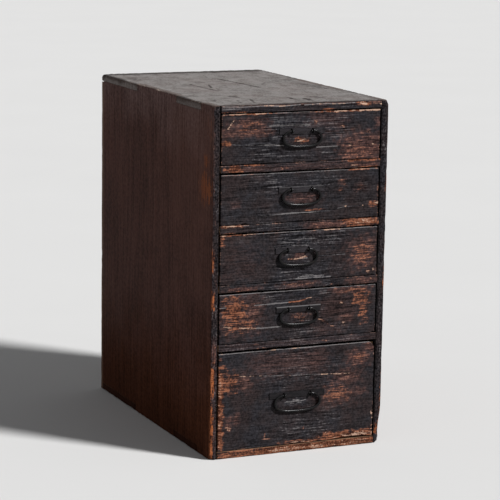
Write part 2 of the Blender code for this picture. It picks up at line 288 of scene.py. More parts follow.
def makeBoardGrain():
    takes = {"Place": "vector", "Grain Scale": "vector", "Warp": "value", "Cloud Scale": "value"}
    gives = dict.fromkeys(("Ridge", "Fibre", "Vein", "Cloud", "Grit", "Ragged", "Lively"), "value")
    kit, source, sink = newTree("boardGrain", "ShaderNodeTree", takes, gives)
    place = source["Place"]
    ridge, fibre, vein = grainField(kit, place, source["Grain Scale"], source["Warp"])
    grit, crumbs = (
        kit.ramp(kit.noise(place, grainForm[name], 1.0), 0.39, 0.61) for name in ("grit", "crumbs")
    )
    ragged = kit.weigh((crumbs, 0.20), (grit, 0.18), (ridge, 0.34), (fibre, 0.28))
    made = {
        "Ridge": ridge, "Fibre": fibre, "Vein": vein, "Grit": grit, "Ragged": kit.minus(ragged, 0.5),
        "Cloud": kit.ramp(kit.noise(place, source["Cloud Scale"], 4.0, 0.6), 0.3, 0.7),
        "Lively": kit.ramp(kit.noise(place, grainForm["lively"]), 0.42, 0.66),
    }
    for label, value in made.items():
        kit.put(sink[label], value)
    return kit.tree


def makeWornThrough():  # where a finish is gone: at marks and along edges, on the raised grain first
    labels = ("Mark", "Edge", "Edge Reach", "Edge Amount", "Cloud", "Ragged", "Raggedness", "Softness")
    kit, source, sink = newTree(
        "wornThrough", "ShaderNodeTree", dict.fromkeys(labels, "value"), {"Mask": "value"},
    )
    fall = kit.ramp(source["Edge"], source["Edge Reach"], 0.0)
    patchy = kit.ramp(source["Cloud"], 0.35, 0.8)
    along = kit.times(kit.times(fall, patchy), source["Edge Amount"])
    worn = kit.most(source["Mark"], along)
    rough = kit.times(source["Ragged"], source["Raggedness"])
    rough = kit.times(rough, kit.ramp(worn, 0.0, 0.4))
    start = kit.minus(0.5, source["Softness"])
    end = kit.plus(0.75, source["Softness"])
    kit.put(sink["Mask"], kit.ramp(kit.plus(worn, rough), start, end))
    return kit.tree


scuffLines = {
    "runs": ((0.5, (9, 420, 420)), (-0.9, (13, 380, 380))),  # turn and scale
    "start": 0.82, "reach": 0.15, "edge": 0.06,
}


def makeScuffs():  # fine scratches in two directions
    takes = {"Place": "vector", "Density": "value"}
    kit, source, sink = newTree("scuffs", "ShaderNodeTree", takes, {"Scratch": "value"})
    masks = []
    for turn, stretch in scuffLines["runs"]:
        values = {"Vector": source["Place"], "Rotation": (turn, turn, turn), "Scale": stretch}
        masks.append(kit.noise(kit.add("ShaderNodeMapping", values).outputs[0], 1.0, 1.0))
    start = kit.minus(scuffLines["start"], kit.times(source["Density"], scuffLines["reach"]))
    kit.put(sink["Scratch"], kit.ramp(kit.most(*masks), start, kit.plus(start, scuffLines["edge"])))
    return kit.tree


boardGrain = makeBoardGrain()
wornThrough = makeWornThrough()
scuffs = makeScuffs()


def wearInputs(kit):  # the marks and edge distances stored on a board
    wear = kit.add("ShaderNodeAttribute", attribute_name="wear").outputs
    split = kit.add("ShaderNodeSeparateColor", {0: wear["Color"]}).outputs
    edge = kit.add("ShaderNodeAttribute", attribute_name="edge").outputs["Fac"]
    return {"rub": split[0], "bare": split[1], "pale": split[2], "grey": wear["Alpha"], "edge": edge}


def woodFinish(name, scale, warp, cloud):
    finish, kit, shader = newFinish(name)
    values = {"Place": kit.place(), "Grain Scale": scale, "Warp": warp, "Cloud Scale": cloud}
    return finish, kit, shader, kit.use(boardGrain, values), wearInputs(kit)


# every wear setting below: reach from the edge in mm, amount there, raggedness and, if any, softness
def wornMask(kit, grain, wear, mark, reach, amount, raggedness, softness=0.0):
    return kit.use(wornThrough, {
        "Mark": mark, "Edge": wear["edge"], "Edge Reach": reach, "Edge Amount": amount,
        "Cloud": grain["Cloud"], "Ragged": grain["Ragged"], "Raggedness": raggedness, "Softness": softness,
    })[0]


lacquer = {
    "valley": (0.0038, 0.0030, 0.0036, 1), "ridge": (0.064, 0.0525, 0.0555, 1),
    "paintedGlint": (0.210, 0.195, 0.195, 1), "cool": (0.053, 0.0545, 0.066, 1), "brown": (0.066, 0.0350, 0.0300, 1),
    "rubbed": (0.195, 0.098, 0.084, 1), "rubbedDark": (0.034, 0.0155, 0.0130, 1),
    "bare": (0.355, 0.137, 0.075, 1), "bareDark": (0.056, 0.0195, 0.0120, 1),
    "pale": (0.52, 0.34, 0.25, 1), "speck": (0.40, 0.195, 0.130, 1), "grey": (0.22, 0.205, 0.205, 1),
    "uprightBare": (0.44, 0.134, 0.046, 1), "uprightGrain": (480, 480, 60),
    "bareWear": (1.6, 0.50, 1.35, 0.28), "greyScuffAndGleam": (1.6, 0.60, 1.1, 0.25),
    "paleWear": (1.2, 0.40, 1.3, 0.05), "uprightPaleWear": (1.2, 0.62, 1.3, 0.05),
    "speckled": 0.26, "uprightSpeckled": 0.6, "uprightDarkened": 0.15,
    "warp": 2.4, "cloud": 38.0, "bump": 0.00018, "specular": 0.045, "roughness": (0.42, 0.78),
}


def lacquerFinish(name, scale, bareWood, paleWear, speckled, darkened=0.0):
    finish, kit, shader, grain, wear = woodFinish(name, scale, lacquer["warp"], lacquer["cloud"])
    bare = wornMask(kit, grain, wear, wear["bare"], *lacquer["bareWear"])
    pale = wornMask(kit, grain, wear, wear["pale"], *paleWear)
    # grey marks: partly scuffs, partly painted highlights along the arrises and grain lines
    grey = wornMask(kit, grain, wear, kit.ramp(wear["grey"], 0.3, 0.75), *lacquer["greyScuffAndGleam"])
    lines = kit.minus(kit.weigh((grain["Ridge"], 0.6), (grain["Fibre"], 0.4)), 0.5)
    speckle = kit.minus(grain["Grit"], 0.5)
    # the light grain lines, stronger under grey marks, are partly worn-thin lacquer on the raised grain and
    # partly painted sheen
    life = kit.plus(kit.ramp(grain["Lively"], 0.0, 1.0, 0.25, 0.65), kit.times(wear["grey"], 0.5))
    veined = kit.plus(kit.ramp(grain["Lively"], 0.0, 1.0, 0.06, 0.22), kit.times(wear["grey"], 1.15))
    vein = kit.times(kit.minus(grain["Vein"], 0.3), veined)
    streak = kit.weigh((kit.times(lines, life), 1.0), (speckle, speckled), (vein, 1.0))
    streak = kit.plus(streak, 0.405, clamp=True)
    smear = kit.plus(kit.weigh((lines, 1.0), (speckle, 0.30)), 0.44, clamp=True)
    worn = kit.plus(kit.weigh((lines, 1.5), (speckle, 0.50)), 0.42, clamp=True)

    tones = ("ridge", "cool", "brown")
    ridge, cool, brown = (kit.blend(streak, lacquer["valley"], lacquer[tone]) for tone in tones)
    # cool tint: random tone in places, and under the grey marks a painted bluish sheen
    coolness = kit.most(
        kit.ramp(grain["Cloud"], 0.6, 0.0, 0.0, 0.7), kit.ramp(wear["grey"], 0.05, 0.45, 0.0, 0.85),
    )
    brownness = kit.ramp(grain["Cloud"], 0.5, 1.0, 0.0, 0.35)
    # painted glints: light flecks on the raised grain, standing in for the lacquer's gloss
    paintedGlint = kit.times(kit.ramp(streak, 0.72, 1.0), kit.ramp(grain["Cloud"], 0.9, 0.5, 0.2, 0.65))
    haze = kit.most(wear["rub"], kit.times(wear["bare"], 0.75))  # brown shows through before bare wood does
    torn = kit.weigh((grain["Ragged"], 0.5), (lines, 0.5))  # rubbed places follow the grain
    rubbed = kit.times(haze, kit.ramp(torn, -0.4, 0.25, 0.42, 1.0), clamp=True)
    speck = kit.times(haze, kit.ramp(grain["Ragged"], 0.12, 0.30))
    colour = kit.layer(
        ridge, (coolness, cool), (brownness, brown), (darkened, lacquer["valley"]), (paintedGlint, lacquer["paintedGlint"]),
        (rubbed, kit.blend(smear, lacquer["rubbedDark"], lacquer["rubbed"])), (grey, lacquer["grey"]),
        (bare, kit.blend(worn, lacquer["bareDark"], bareWood)),
        (kit.ramp(speck, 0.25, 0.9, 0.0, 0.45), lacquer["speck"]), (pale, lacquer["pale"]),
    )
    lost = kit.most(rubbed, kit.most(bare, pale))
    rough = kit.ramp(kit.weigh((lost, 1.0), (streak, 0.3)), 0.0, 1.2, *lacquer["roughness"])
    height = kit.weigh((grain["Fibre"], 0.4), (grain["Vein"], 0.35), (grain["Grit"], 0.35), (lost, -0.35))
    dress(kit, shader, colour, rough, lacquer["specular"], height, lacquer["bump"])
    return finish


stain = {
    "dark": (0.030, 0.0132, 0.0108, 1), "light": (0.170, 0.0790, 0.0640, 1),
    "dustAndSheen": (0.270, 0.1680, 0.1580, 1), "rubbed": (0.21, 0.102, 0.081, 1),
    "lowDark": (0.030, 0.0100, 0.0055, 1), "low": (0.158, 0.0535, 0.0260, 1),
    "bare": (0.34, 0.116, 0.055, 1), "pale": (0.40, 0.29, 0.23, 1),
    "grain": (290, 290, 9), "warp": 1.2, "cloud": 14.0, "bump": 0.00008, "scuffs": 0.35,
    "specular": 0.004, "roughness": (0.36, 0.68), "bareWear": (1.5, 0.35, 1.4), "paleWear": (0.8, 0.3, 1.0),
    "fine": 240.0, "darkened": 0.0, "rightPaintedShade": 0.5,
    "sheenFrom": (0.385, 0.50), "lowFrom": (0.22, 0.05),  # heights, in metres, over which the painted sheen above and the painted shade below come in
}


def stainFinish(name, darkened):  # red-brown sides with little real gloss: a painted sheen greys them towards the top, and painted shade darkens them towards the foot
    finish, kit, shader, grain, wear = woodFinish(name, stain["grain"], stain["warp"], stain["cloud"])
    place = kit.place()
    film = kit.weigh((grain["Fibre"], 0.6), (grain["Cloud"], 0.4))
    bare = kit.times(wear["bare"], kit.ramp(film, 0.1, 0.8))
    bare = kit.most(bare, wornMask(kit, grain, wear, wear["bare"], *stain["bareWear"]))
    pale = wornMask(kit, grain, wear, wear["pale"], *stain["paleWear"])
    scratch = kit.use(scuffs, {"Place": place, "Density": stain["scuffs"]})[0]
    fine = kit.ramp(kit.noise(place, stain["fine"], 2.0, 0.6), 0.34, 0.66)
    tone = kit.weigh((grain["Ridge"], 0.36), (grain["Cloud"], 0.20), (grain["Fibre"], 0.14), (fine, 0.30))
    height = kit.add("ShaderNodeSeparateXYZ", {0: place}).outputs[2]
    height = kit.weigh((height, 1.0), (grain["Cloud"], 0.05))
    colour = kit.layer(
        kit.blend(tone, stain["dark"], stain["light"]),
        # painted sheen: greyer towards the top, a painted reflection
        (kit.ramp(height, *stain["sheenFrom"], 0.0, 0.9), kit.blend(tone, stain["dark"], stain["dustAndSheen"])),
        # painted shade: darker and redder towards the floor
        (kit.ramp(height, *stain["lowFrom"], 0.0, 0.9), kit.blend(tone, stain["lowDark"], stain["low"])),
        (darkened, stain["dark"]), (kit.times(wear["rub"], 0.3), stain["rubbed"]),
        (kit.times(bare, 0.8), stain["bare"]), (kit.times(kit.most(pale, scratch), 0.3), stain["pale"]),
    )
    rough = kit.ramp(kit.weigh((bare, 1.0), (grain["Fibre"], 0.4)), 0.0, 1.2, *stain["roughness"])
    relief = kit.weigh((grain["Ridge"], 0.6), (scratch, -0.5))
    dress(kit, shader, colour, rough, stain["specular"], relief, stain["bump"])
    return finish


topBoard = {
    "grey": (0.038, 0.0290, 0.0255, 1), "lightGrey": (0.086, 0.0660, 0.0570, 1),
    "brown": (0.056, 0.0345, 0.0280, 1), "endBrown": (0.072, 0.0420, 0.0330, 1),
    "edge": (0.014, 0.011, 0.011, 1), "dark": (0.020, 0.015, 0.014, 1),
    "bare": (0.26, 0.085, 0.036, 1), "pale": (0.42, 0.33, 0.27, 1),
    "grain": (9, 250, 250), "endGrain": (420, 150, 420), "mottle": (70, 42, 60), "warp": 2.0, "cloud": 26.0,
    "bump": 0.00012, "scuffs": 0.9, "specular": 0.02, "roughness": (0.42, 0.75),
    "coatRoughness": 0.50, "coatIor": 1.85, "polish": (0.10, 0.98), "endPolish": (0.06, 0.42),
    "darkWear": (3.0, 0.3, 1.1, 0.3), "bareWear": (1.4, 0.45, 1.2), "paleWear": (1.6, 0.55, 1.5),
    "rim": (8.5, 2.5), "rimDepth": 0.92, "endRimDepth": 0.6, "endBrowned": 0.55,  # the rim is in mm
}


def topFinish(name, scale, polish, rimDepth, browned=0.0):
    finish, kit, shader, grain, wear = woodFinish(name, scale, topBoard["warp"], topBoard["cloud"])
    place = kit.place()
    dark = wornMask(kit, grain, wear, wear["rub"], *topBoard["darkWear"])
    bare = wornMask(kit, grain, wear, wear["bare"], *topBoard["bareWear"])
    pale = wornMask(kit, grain, wear, wear["pale"], *topBoard["paleWear"])
    scratch = kit.use(scuffs, {"Place": place, "Density": topBoard["scuffs"]})[0]
    mottle = kit.noise(kit.vector("MULTIPLY", place, topBoard["mottle"]), 1.0, 5.0, 0.62)
    mottle = kit.ramp(mottle, 0.32, 0.68)
    tone = kit.weigh((grain["Ridge"], 0.32), (grain["Fibre"], 0.30), (grain["Grit"], 0.18), (mottle, 0.20))
    rim = kit.ramp(kit.weigh((wear["edge"], 1.0), (grain["Cloud"], 4.0)), *topBoard["rim"])
    stained = kit.most(dark, kit.times(scratch, 0.6))
    colour = kit.layer(
        kit.blend(tone, topBoard["grey"], topBoard["lightGrey"]),
        (kit.ramp(grain["Cloud"], 0.35, 0.9, 0.0, 0.75), topBoard["brown"]),
        (kit.times(rim, rimDepth), topBoard["edge"]), (browned, topBoard["endBrown"]),
        (stained, topBoard["dark"]), (bare, topBoard["bare"]), (pale, topBoard["pale"]),
    )
    dull = kit.weigh((dark, 0.6), (scratch, 0.5), (rim, 0.35), (tone, 0.3))
    rough = kit.ramp(dull, 0.0, 1.0, *topBoard["roughness"])
    relief = kit.weigh((grain["Fibre"], 0.5), (grain["Grit"], 0.3), (scratch, -0.7))
    dress(kit, shader, colour, rough, topBoard["specular"], relief, topBoard["bump"])
    sheen = kit.weigh(
        (mottle, 0.42), (grain["Fibre"], 0.20), (grain["Grit"], 0.32), (stained, -0.7), (rim, -0.55),
    )
    kit.put(shader.inputs["Coat Weight"], kit.ramp(sheen, -0.1, 0.8, *polish))
    shader.inputs["Coat Roughness"].default_value = topBoard["coatRoughness"]
    shader.inputs["Coat IOR"].default_value = topBoard["coatIor"]
    return finish


plainWood = {  # each wood: valley, ridge and stained colour
    "pale": ((0.215, 0.132, 0.074, 1), (0.350, 0.235, 0.142, 1), (0.140, 0.078, 0.043, 1)),
    "case": ((0.135, 0.075, 0.042, 1), (0.235, 0.140, 0.082, 1), (0.085, 0.045, 0.027, 1)),
    "back": ((0.074, 0.035, 0.020, 1), (0.156, 0.080, 0.046, 1), (0.040, 0.019, 0.012, 1)),
    "peg": ((0.24, 0.14, 0.07, 1), (0.38, 0.25, 0.14, 1), (0.16, 0.085, 0.045, 1)),
    "pegGrain": (500, 500, 500), "warp": 2.2, "cloud": 9.0, "backCloud": 14.0, "bump": 0.00014,
    "specular": 0.25, "roughness": (0.72, 0.86), "soilWear": (3.0, 0.7, 1.0),
    "blackDepth": 24 * mm, "blackFade": 12 * mm,
}


def plainFinish(name, scale, wood, cloud=plainWood["cloud"], blackened=None):  # wood that never had a finish
    finish, kit, shader, grain, wear = woodFinish(name, scale, plainWood["warp"], cloud)
    valley, ridge, stained = plainWood[wood]
    soiled = wornMask(kit, grain, wear, wear["rub"], *plainWood["soilWear"])
    tone = kit.weigh((grain["Ridge"], 0.6), (grain["Fibre"], 0.4))
    stains = kit.weigh((kit.ramp(grain["Cloud"], 0.45, 1.0), 0.5), (soiled, 0.45))
    colour = kit.layer(kit.blend(tone, valley, ridge), (stains, stained))
    if blackened is not None:  # lacquer that ran round the front edge
        depth = kit.add("ShaderNodeSeparateXYZ", {0: kit.place()}).outputs[1]
        depth = kit.weigh((depth, 1.0), (grain["Cloud"], 0.01))
        run = kit.ramp(depth, blackened + plainWood["blackFade"], blackened)
        colour = kit.blend(run, colour, lacquer["valley"])
    rough = kit.ramp(tone, 0.0, 1.0, *plainWood["roughness"])
    relief = kit.weigh((grain["Fibre"], 0.4), (grain["Ridge"], 0.6))
    dress(kit, shader, colour, rough, plainWood["specular"], relief, plainWood["bump"])
    return finish


iron = {
    "black": (0.0075, 0.0072, 0.0078, 1), "rubbed": (0.0085, 0.0083, 0.0087, 1),
    "rust": (0.022, 0.013, 0.010, 1), "dustAndSheen": (0.046, 0.041, 0.046, 1), "bright": (0.24, 0.23, 0.235, 1),
    "spots": 900.0, "patches": 180.0, "streaks": (60, 300, 480), "metallic": 0.15,
    "plate": {"handled": 0.0, "roughness": (0.58, 0.62), "specular": 0.08, "bump": 0.00005},
    "rod": {"handled": 1.0, "roughness": (0.21, 0.27), "specular": 0.16, "bump": 0.000005},
}


def ironFinish(name, use):  # handled: how much of the black is rubbed off, 0 to 1
    finish, kit, shader = newFinish(name)
    place, wear = kit.place(), wearInputs(kit)
    spots = kit.ramp(kit.noise(place, iron["spots"], 3.0, 0.6), 0.35, 0.68)
    patches = kit.ramp(kit.noise(place, iron["patches"], 3.0, 0.55), 0.48, 0.72)
    streaks = kit.ramp(kit.noise(kit.vector("MULTIPLY", place, iron["streaks"]), 1.0), 0.38, 0.62)
    rust = kit.times(patches, kit.ramp(spots, 0.3, 0.9, 0.1, 0.8))
    film = kit.weigh((spots, 0.4), (patches, 0.3), (streaks, 0.5))
    dust = kit.times(wear["rub"], kit.ramp(film, 0.0, 1.0, 0.45, 1.35), clamp=True)
    # pale marks take the bright colour: on the plates this is a painted highlight along the upper edge
    colour = kit.layer(
        iron["black"], (kit.times(spots, use["handled"]), iron["rubbed"]), (rust, iron["rust"]),
        (dust, iron["dustAndSheen"]), (wear["pale"], iron["bright"]),
    )
    rough = kit.ramp(kit.plus(spots, rust), 0.0, 1.4, *use["roughness"])
    relief = kit.minus(spots, kit.times(patches, 0.5))
    dress(kit, shader, colour, rough, use["specular"], relief, use["bump"])
    shader.inputs["Metallic"].default_value = iron["metallic"]
    return finish


frontLacquer = lacquerFinish(
    "worn_lacquer_across", grainAlong["x"], lacquer["bare"], lacquer["paleWear"], lacquer["speckled"],
)
uprightLacquer = lacquerFinish(
    "worn_lacquer_upright", lacquer["uprightGrain"], lacquer["uprightBare"], lacquer["uprightPaleWear"],
    lacquer["uprightSpeckled"], lacquer["uprightDarkened"],
)
sideStain = stainFinish("stain_with_painted_sheen", stain["darkened"])
# painted shade: this copy is darkened by half, so that in the key light it looks as dark as the left side
# does in shade
shadedStain = stainFinish("stain_with_painted_sheen_and_shade", stain["rightPaintedShade"])
topWood = topFinish("weathered_top", topBoard["grain"], topBoard["polish"], topBoard["rimDepth"])
topEndGrain = topFinish(
    "weathered_end_grain", topBoard["endGrain"], topBoard["endPolish"], topBoard["endRimDepth"],
    topBoard["endBrowned"],
)
plainAcross = plainFinish("bare_wood_across", grainAlong["x"], "pale")
plainDeep = plainFinish("bare_wood_deep", grainAlong["y"], "pale")
caseInside = plainFinish("case_inside", grainAlong["z"], "case", blackened=cadLow.y + plainWood["blackDepth"])
shelfWood = plainFinish("shelf_wood", grainAlong["x"], "case")
backWood = plainFinish("back_wood", grainAlong["z"], "back", plainWood["backCloud"])
pegWood = plainFinish("peg_end_grain", plainWood["pegGrain"], "peg")
blackIron = ironFinish("black_iron", iron["plate"])
handledIron = ironFinish("handled_iron", iron["rod"])
print("finishes are mixed")


# geometry trees
def sinkIn(kit, shape, depth):  # moves each point inwards
    normal = kit.add("GeometryNodeInputNormal").outputs[0]
    offset = kit.vector("SCALE", normal, kit.times(depth, -1.0))
    return kit.add("GeometryNodeSetPosition", {"Geometry": shape, "Offset": offset}).outputs[0]


def finishTree(kit, shape, finish, sink):
    smooth = kit.add("GeometryNodeSetShadeSmooth", {"Geometry": shape}).outputs[0]
    real = kit.add("GeometryNodeRealizeInstances", {"Geometry": smooth}).outputs[0]
    kit.put(sink, kit.add("GeometryNodeSetMaterial", {"Geometry": real, "Material": finish}).outputs[0])


def makeRaisedGrain():  # sinks the soft grain and chips the edges
    takes = {
        "Board": "shape", "Grain Scale": "vector", "Grain Warp": "value", "Grain Depth": "value",
        "Sink": "value", "Chip Depth": "value", "Chip Reach": "value", "Chip Scale": "value",
        "Chip Seed": "value", "Finish": "finish",
    }
    kit, source, sink = newTree("raisedGrain", "GeometryNodeTree", takes, {"Board": "shape"})
    place = kit.add("GeometryNodeInputPosition").outputs[0]
    ridge, fibre, vein = grainField(kit, place, source["Grain Scale"], source["Grain Warp"])
    hollow = kit.minus(1.0, kit.weigh((ridge, 0.55), (fibre, 0.20), (vein, 0.25)))
    depth = kit.plus(kit.times(hollow, source["Grain Depth"]), source["Sink"])
    crumbs = kit.noise(place, source["Chip Scale"], 3.0, 0.55, source["Chip Seed"])
    chips = kit.times(kit.ramp(crumbs, 0.47, 0.72), kit.ramp(kit.stored("edge"), source["Chip Reach"], 0.0))
    depth = kit.plus(depth, kit.times(chips, source["Chip Depth"]))
    moved = sinkIn(kit, source["Board"], kit.times(depth, kit.stored("relief")))
    finishTree(kit, moved, source["Finish"], sink["Board"])
    return kit.tree


def makeForgedWire():  # a hammered rod along a path that carries its own thickness
    takes = {
        "Path": "shape", "Sides": "count", "Hammer Depth": "value", "Hammer Scale": "value",
        "Hammer Seed": "value", "Finish": "finish",
    }
    kit, source, sink = newTree("forgedWire", "GeometryNodeTree", takes, {"Wire": "shape"})
    curve = kit.add("GeometryNodeMeshToCurve", {"Mesh": source["Path"]}).outputs[0]
    values = {"Resolution": source["Sides"], "Radius": 1.0}
    ring = kit.add("GeometryNodeCurvePrimitiveCircle", values).outputs[0]
    values = {"Curve": curve, "Profile Curve": ring, "Scale": kit.stored("thickness"), "Fill Caps": True}
    rod = kit.add("GeometryNodeCurveToMesh", values).outputs[0]
    place = kit.add("GeometryNodeInputPosition").outputs[0]
    blows = kit.noise(place, source["Hammer Scale"], 2.0, 0.5, source["Hammer Seed"])
    moved = sinkIn(kit, rod, kit.times(kit.ramp(blows, 0.35, 0.7), source["Hammer Depth"]))
    finishTree(kit, moved, source["Finish"], sink["Wire"])
    return kit.tree


headForm = {"taper": 0.8, "sizes": (0.85, 1.15)}


def makePegHeads():  # one head at each point, standing on the way that the point faces
    takes = {
        "Places": "shape", "Radius": "value", "Height": "value", "Sides": "count", "Seed": "count",
        "Finish": "finish",
    }
    kit, source, sink = newTree("pegHeads", "GeometryNodeTree", takes, {"Heads": "shape"})
    head = kit.add("GeometryNodeMeshCone", {
        "Vertices": source["Sides"], "Radius Top": kit.times(source["Radius"], headForm["taper"]),
        "Radius Bottom": source["Radius"], "Depth": source["Height"],
    }).outputs["Mesh"]
    facing = kit.stored("facing", "FLOAT_VECTOR")
    turn = kit.add("FunctionNodeAlignRotationToVector", {"Vector": facing}, axis="Z").outputs[0]
    least, most = headForm["sizes"]
    values = {2: least, 3: most, "Seed": source["Seed"]}
    size = kit.add("FunctionNodeRandomValue", values, data_type="FLOAT").outputs[1]
    values = {"Points": source["Places"], "Instance": head, "Rotation": turn, "Scale": size}
    heads = kit.add("GeometryNodeInstanceOnPoints", values).outputs[0]
    finishTree(kit, heads, source["Finish"], sink["Heads"])
    return kit.tree


raisedGrain = makeRaisedGrain()
forgedWire = makeForgedWire()
pegHeads = makePegHeads()


def runTree(piece, tree, values):  # applies a tree and leaves a plain mesh
    modifier = piece.modifiers.new(tree.name, "NODES")
    modifier.node_group = tree
    for item in tree.interface.items_tree:
        if item.in_out == "INPUT" and item.name in values:
            modifier[item.identifier] = values[item.name]
    bpy.context.view_layer.update()
    graph = bpy.context.evaluated_depsgraph_get()
    made = bpy.data.meshes.new_from_object(piece.evaluated_get(graph), depsgraph=graph)
    old = piece.data
    piece.modifiers.clear()
    piece.data = made
    made.name = piece.name
    bpy.data.meshes.remove(old)


def newPiece(name, mesh):
    piece = bpy.data.objects.new(name, mesh)
    scene.collection.objects.link(piece)
    return piece


def handOver(piece, body, slot, *nodes):
    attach(piece, body)
    if nodes:
        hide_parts(*nodes)


# boards: a copy of the solid, cut fine enough for grain and chips
weld = 1e-6
flatAngle = 0.01
sharpAngle, rodSharpAngle = math.radians(40), math.radians(60)
skin = 2.5 * mm  # how near to an exposed face a point counts as outside
leastFacing = {"cut": 0.2, "paint": 0.3}  # how far a face turns towards a way to count as facing it
# grey marks on the lacquer are partly scuffs and partly painted highlights
markColours = {
    "rub": (1, 0, 0, 0), "bare": (0, 1, 0, 0), "pale": (0, 0, 1, 0), "grey": (0, 0, 0, 1),
    "tan": (0.4, 0.65, 0.5, 0),
}
markEdge = {  # how a patch fades, in mm; beside and above: waves with their turn across, upright and start
    "least": 0.4, "share": 0.35, "most": 14.0, "sway": 0.3, "thin": 3.0, "thinStrength": 1.3,
    "beside": ((0.31, 0.53, 0.0), (0.71, -0.37, 1.7)), "above": ((0.23, -0.61, 0.8), (0.57, 0.29, 2.9)),
}


def smoothStep(value, low, high):
    t = np.clip((value - low) / (high - low), 0.0, 1.0)
    return t * t * (3.0 - 2.0 * t)


def cutPlaces(low, high, step, rim):
    count = max(1, round((high - low) / step))
    places = {low + (high - low) * i / count for i in range(1, count)}
    for inset in rim:
        places |= {low + inset, high - inset}
    return sorted(p for p in places if low + weld < p < high - weld)


def boardForm(node, cuts, rim):
    form = bmesh.new()
    form.from_mesh(frame["nodes"][node].data)
    bmesh.ops.remove_doubles(form, verts=form.verts, dist=weld)
    bmesh.ops.dissolve_limit(form, angle_limit=flatAngle, verts=form.verts, edges=form.edges)
    low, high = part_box(node)
    for letter, step, facing in cuts:
        axis = "xyz".index(letter)
        form.normal_update()
        faces = [f for f in form.faces if any(f.normal.dot(ways[way]) > leastFacing["cut"] for way in facing)]
        edges = {e for f in faces for e in f.edges}
        shape = faces + list(edges) + list({v for e in edges for v in e.verts})
        for place in cutPlaces(low[axis], high[axis], step, rim):
            at, normal = Vector((0, 0, 0)), Vector((0, 0, 0))
            at[axis], normal[axis] = place, 1.0
            cut = bmesh.ops.bisect_plane(form, geom=shape, dist=weld / 10, plane_co=at, plane_no=normal)
            shape = cut["geom"]
    return form, low, high


def dentPoints(points, dents):  # each dent: middle, reach and push, in mm
    for middle, reach, push in dents:
        away = ((points / mm - np.array(middle)) / np.array(reach)) ** 2
        near = np.clip(1.0 - away.sum(1), 0.0, 1.0) ** 2
        points = points + near[:, None] * np.array(push) * mm
    return points


def ripple(across, upright, waves):  # keeps the edges of patches from running straight
    return sum(np.sin(a * across + b * upright + start) for a, b, start in waves)


# marks by kind, in mm; a patch: left, right, low, high and strength; a stroke: path, width and strength
def patchAmount(across, upright, left, right, low, high, strength):
    wide, tall = (
        min(markEdge["least"] + markEdge["share"] * size, markEdge["most"])
        for size in (right - left, high - low)
    )
    sway, swell = (ripple(across, upright, markEdge[name]) for name in ("beside", "above"))
    beside = np.maximum(left - across, across - right) + markEdge["sway"] * wide * sway
    above = np.maximum(low - upright, upright - high) + markEdge["sway"] * tall * swell
    if high - low < markEdge["thin"]:
        strength *= markEdge["thinStrength"]  # a thin mark would break up otherwise
    return strength * smoothStep(beside, wide, -wide) * smoothStep(above, tall, -tall)


def strokeAmount(across, upright, path, width, strength):
    gaps = []
    for (x0, z0), (x1, z1) in zip(path, path[1:]):
        run = np.array((x1 - x0, z1 - z0), float)
        along = ((across - x0) * run[0] + (upright - z0) * run[1]) / run.dot(run)
        along = np.clip(along, 0.0, 1.0)
        gaps.append(np.hypot(across - x0 - along * run[0], upright - z0 - along * run[1]))
    return strength * smoothStep(np.min(gaps, axis=0), width, 0.0)


def wearField(across, upright, groups):
    field = np.zeros((len(across), 4))
    for kind, *marks in groups:
        for mark in marks:
            shape = strokeAmount if isinstance(mark[0], tuple) else patchAmount
            amount = shape(across, upright, *mark)[:, None]
            if kind == "black":  # lacquer left standing inside a worn patch
                field *= 1.0 - amount
            else:
                field = np.maximum(field, amount * np.array(markColours[kind]))
    return field


def faceDistances(points, low, high, exposed):
    gaps = []
    for way in exposed:
        axis = "xyz".index(way[1])
        gaps.append(points[:, axis] - low[axis] if way[0] == "-" else high[axis] - points[:, axis])
    return np.array(gaps)


def readValues(items, name):
    values = np.zeros(len(items) * 3)
    items.foreach_get(name, values)
    return values.reshape(-1, 3)


def storeValues(mesh, name, kind, values):
    layer = mesh.attributes.new(name, kind, "POINT")
    key = {"FLOAT": "value", "FLOAT_COLOR": "color", "FLOAT_VECTOR": "vector"}[kind]
    layer.data.foreach_set(key, np.asarray(values, np.float32).ravel())


def paintFaces(mesh, low, high, coats):  # the first coat is the inside, the others go on the faces they name
    middles, normals = readValues(mesh.polygons, "center"), readValues(mesh.polygons, "normal")
    best, chosen = np.full(len(middles), leastFacing["paint"]), np.zeros(len(middles), np.int32)
    mesh.materials.clear()
    for index, (facing, coat) in enumerate(coats):
        mesh.materials.append(coat)
        for way in facing:
            turned = normals @ np.array(ways[way])
            turned[faceDistances(middles, low, high, [way])[0] > skin] = -1.0
            better = turned > best
            best[better], chosen[better] = turned[better], index
    mesh.polygons.foreach_set("material_index", chosen)


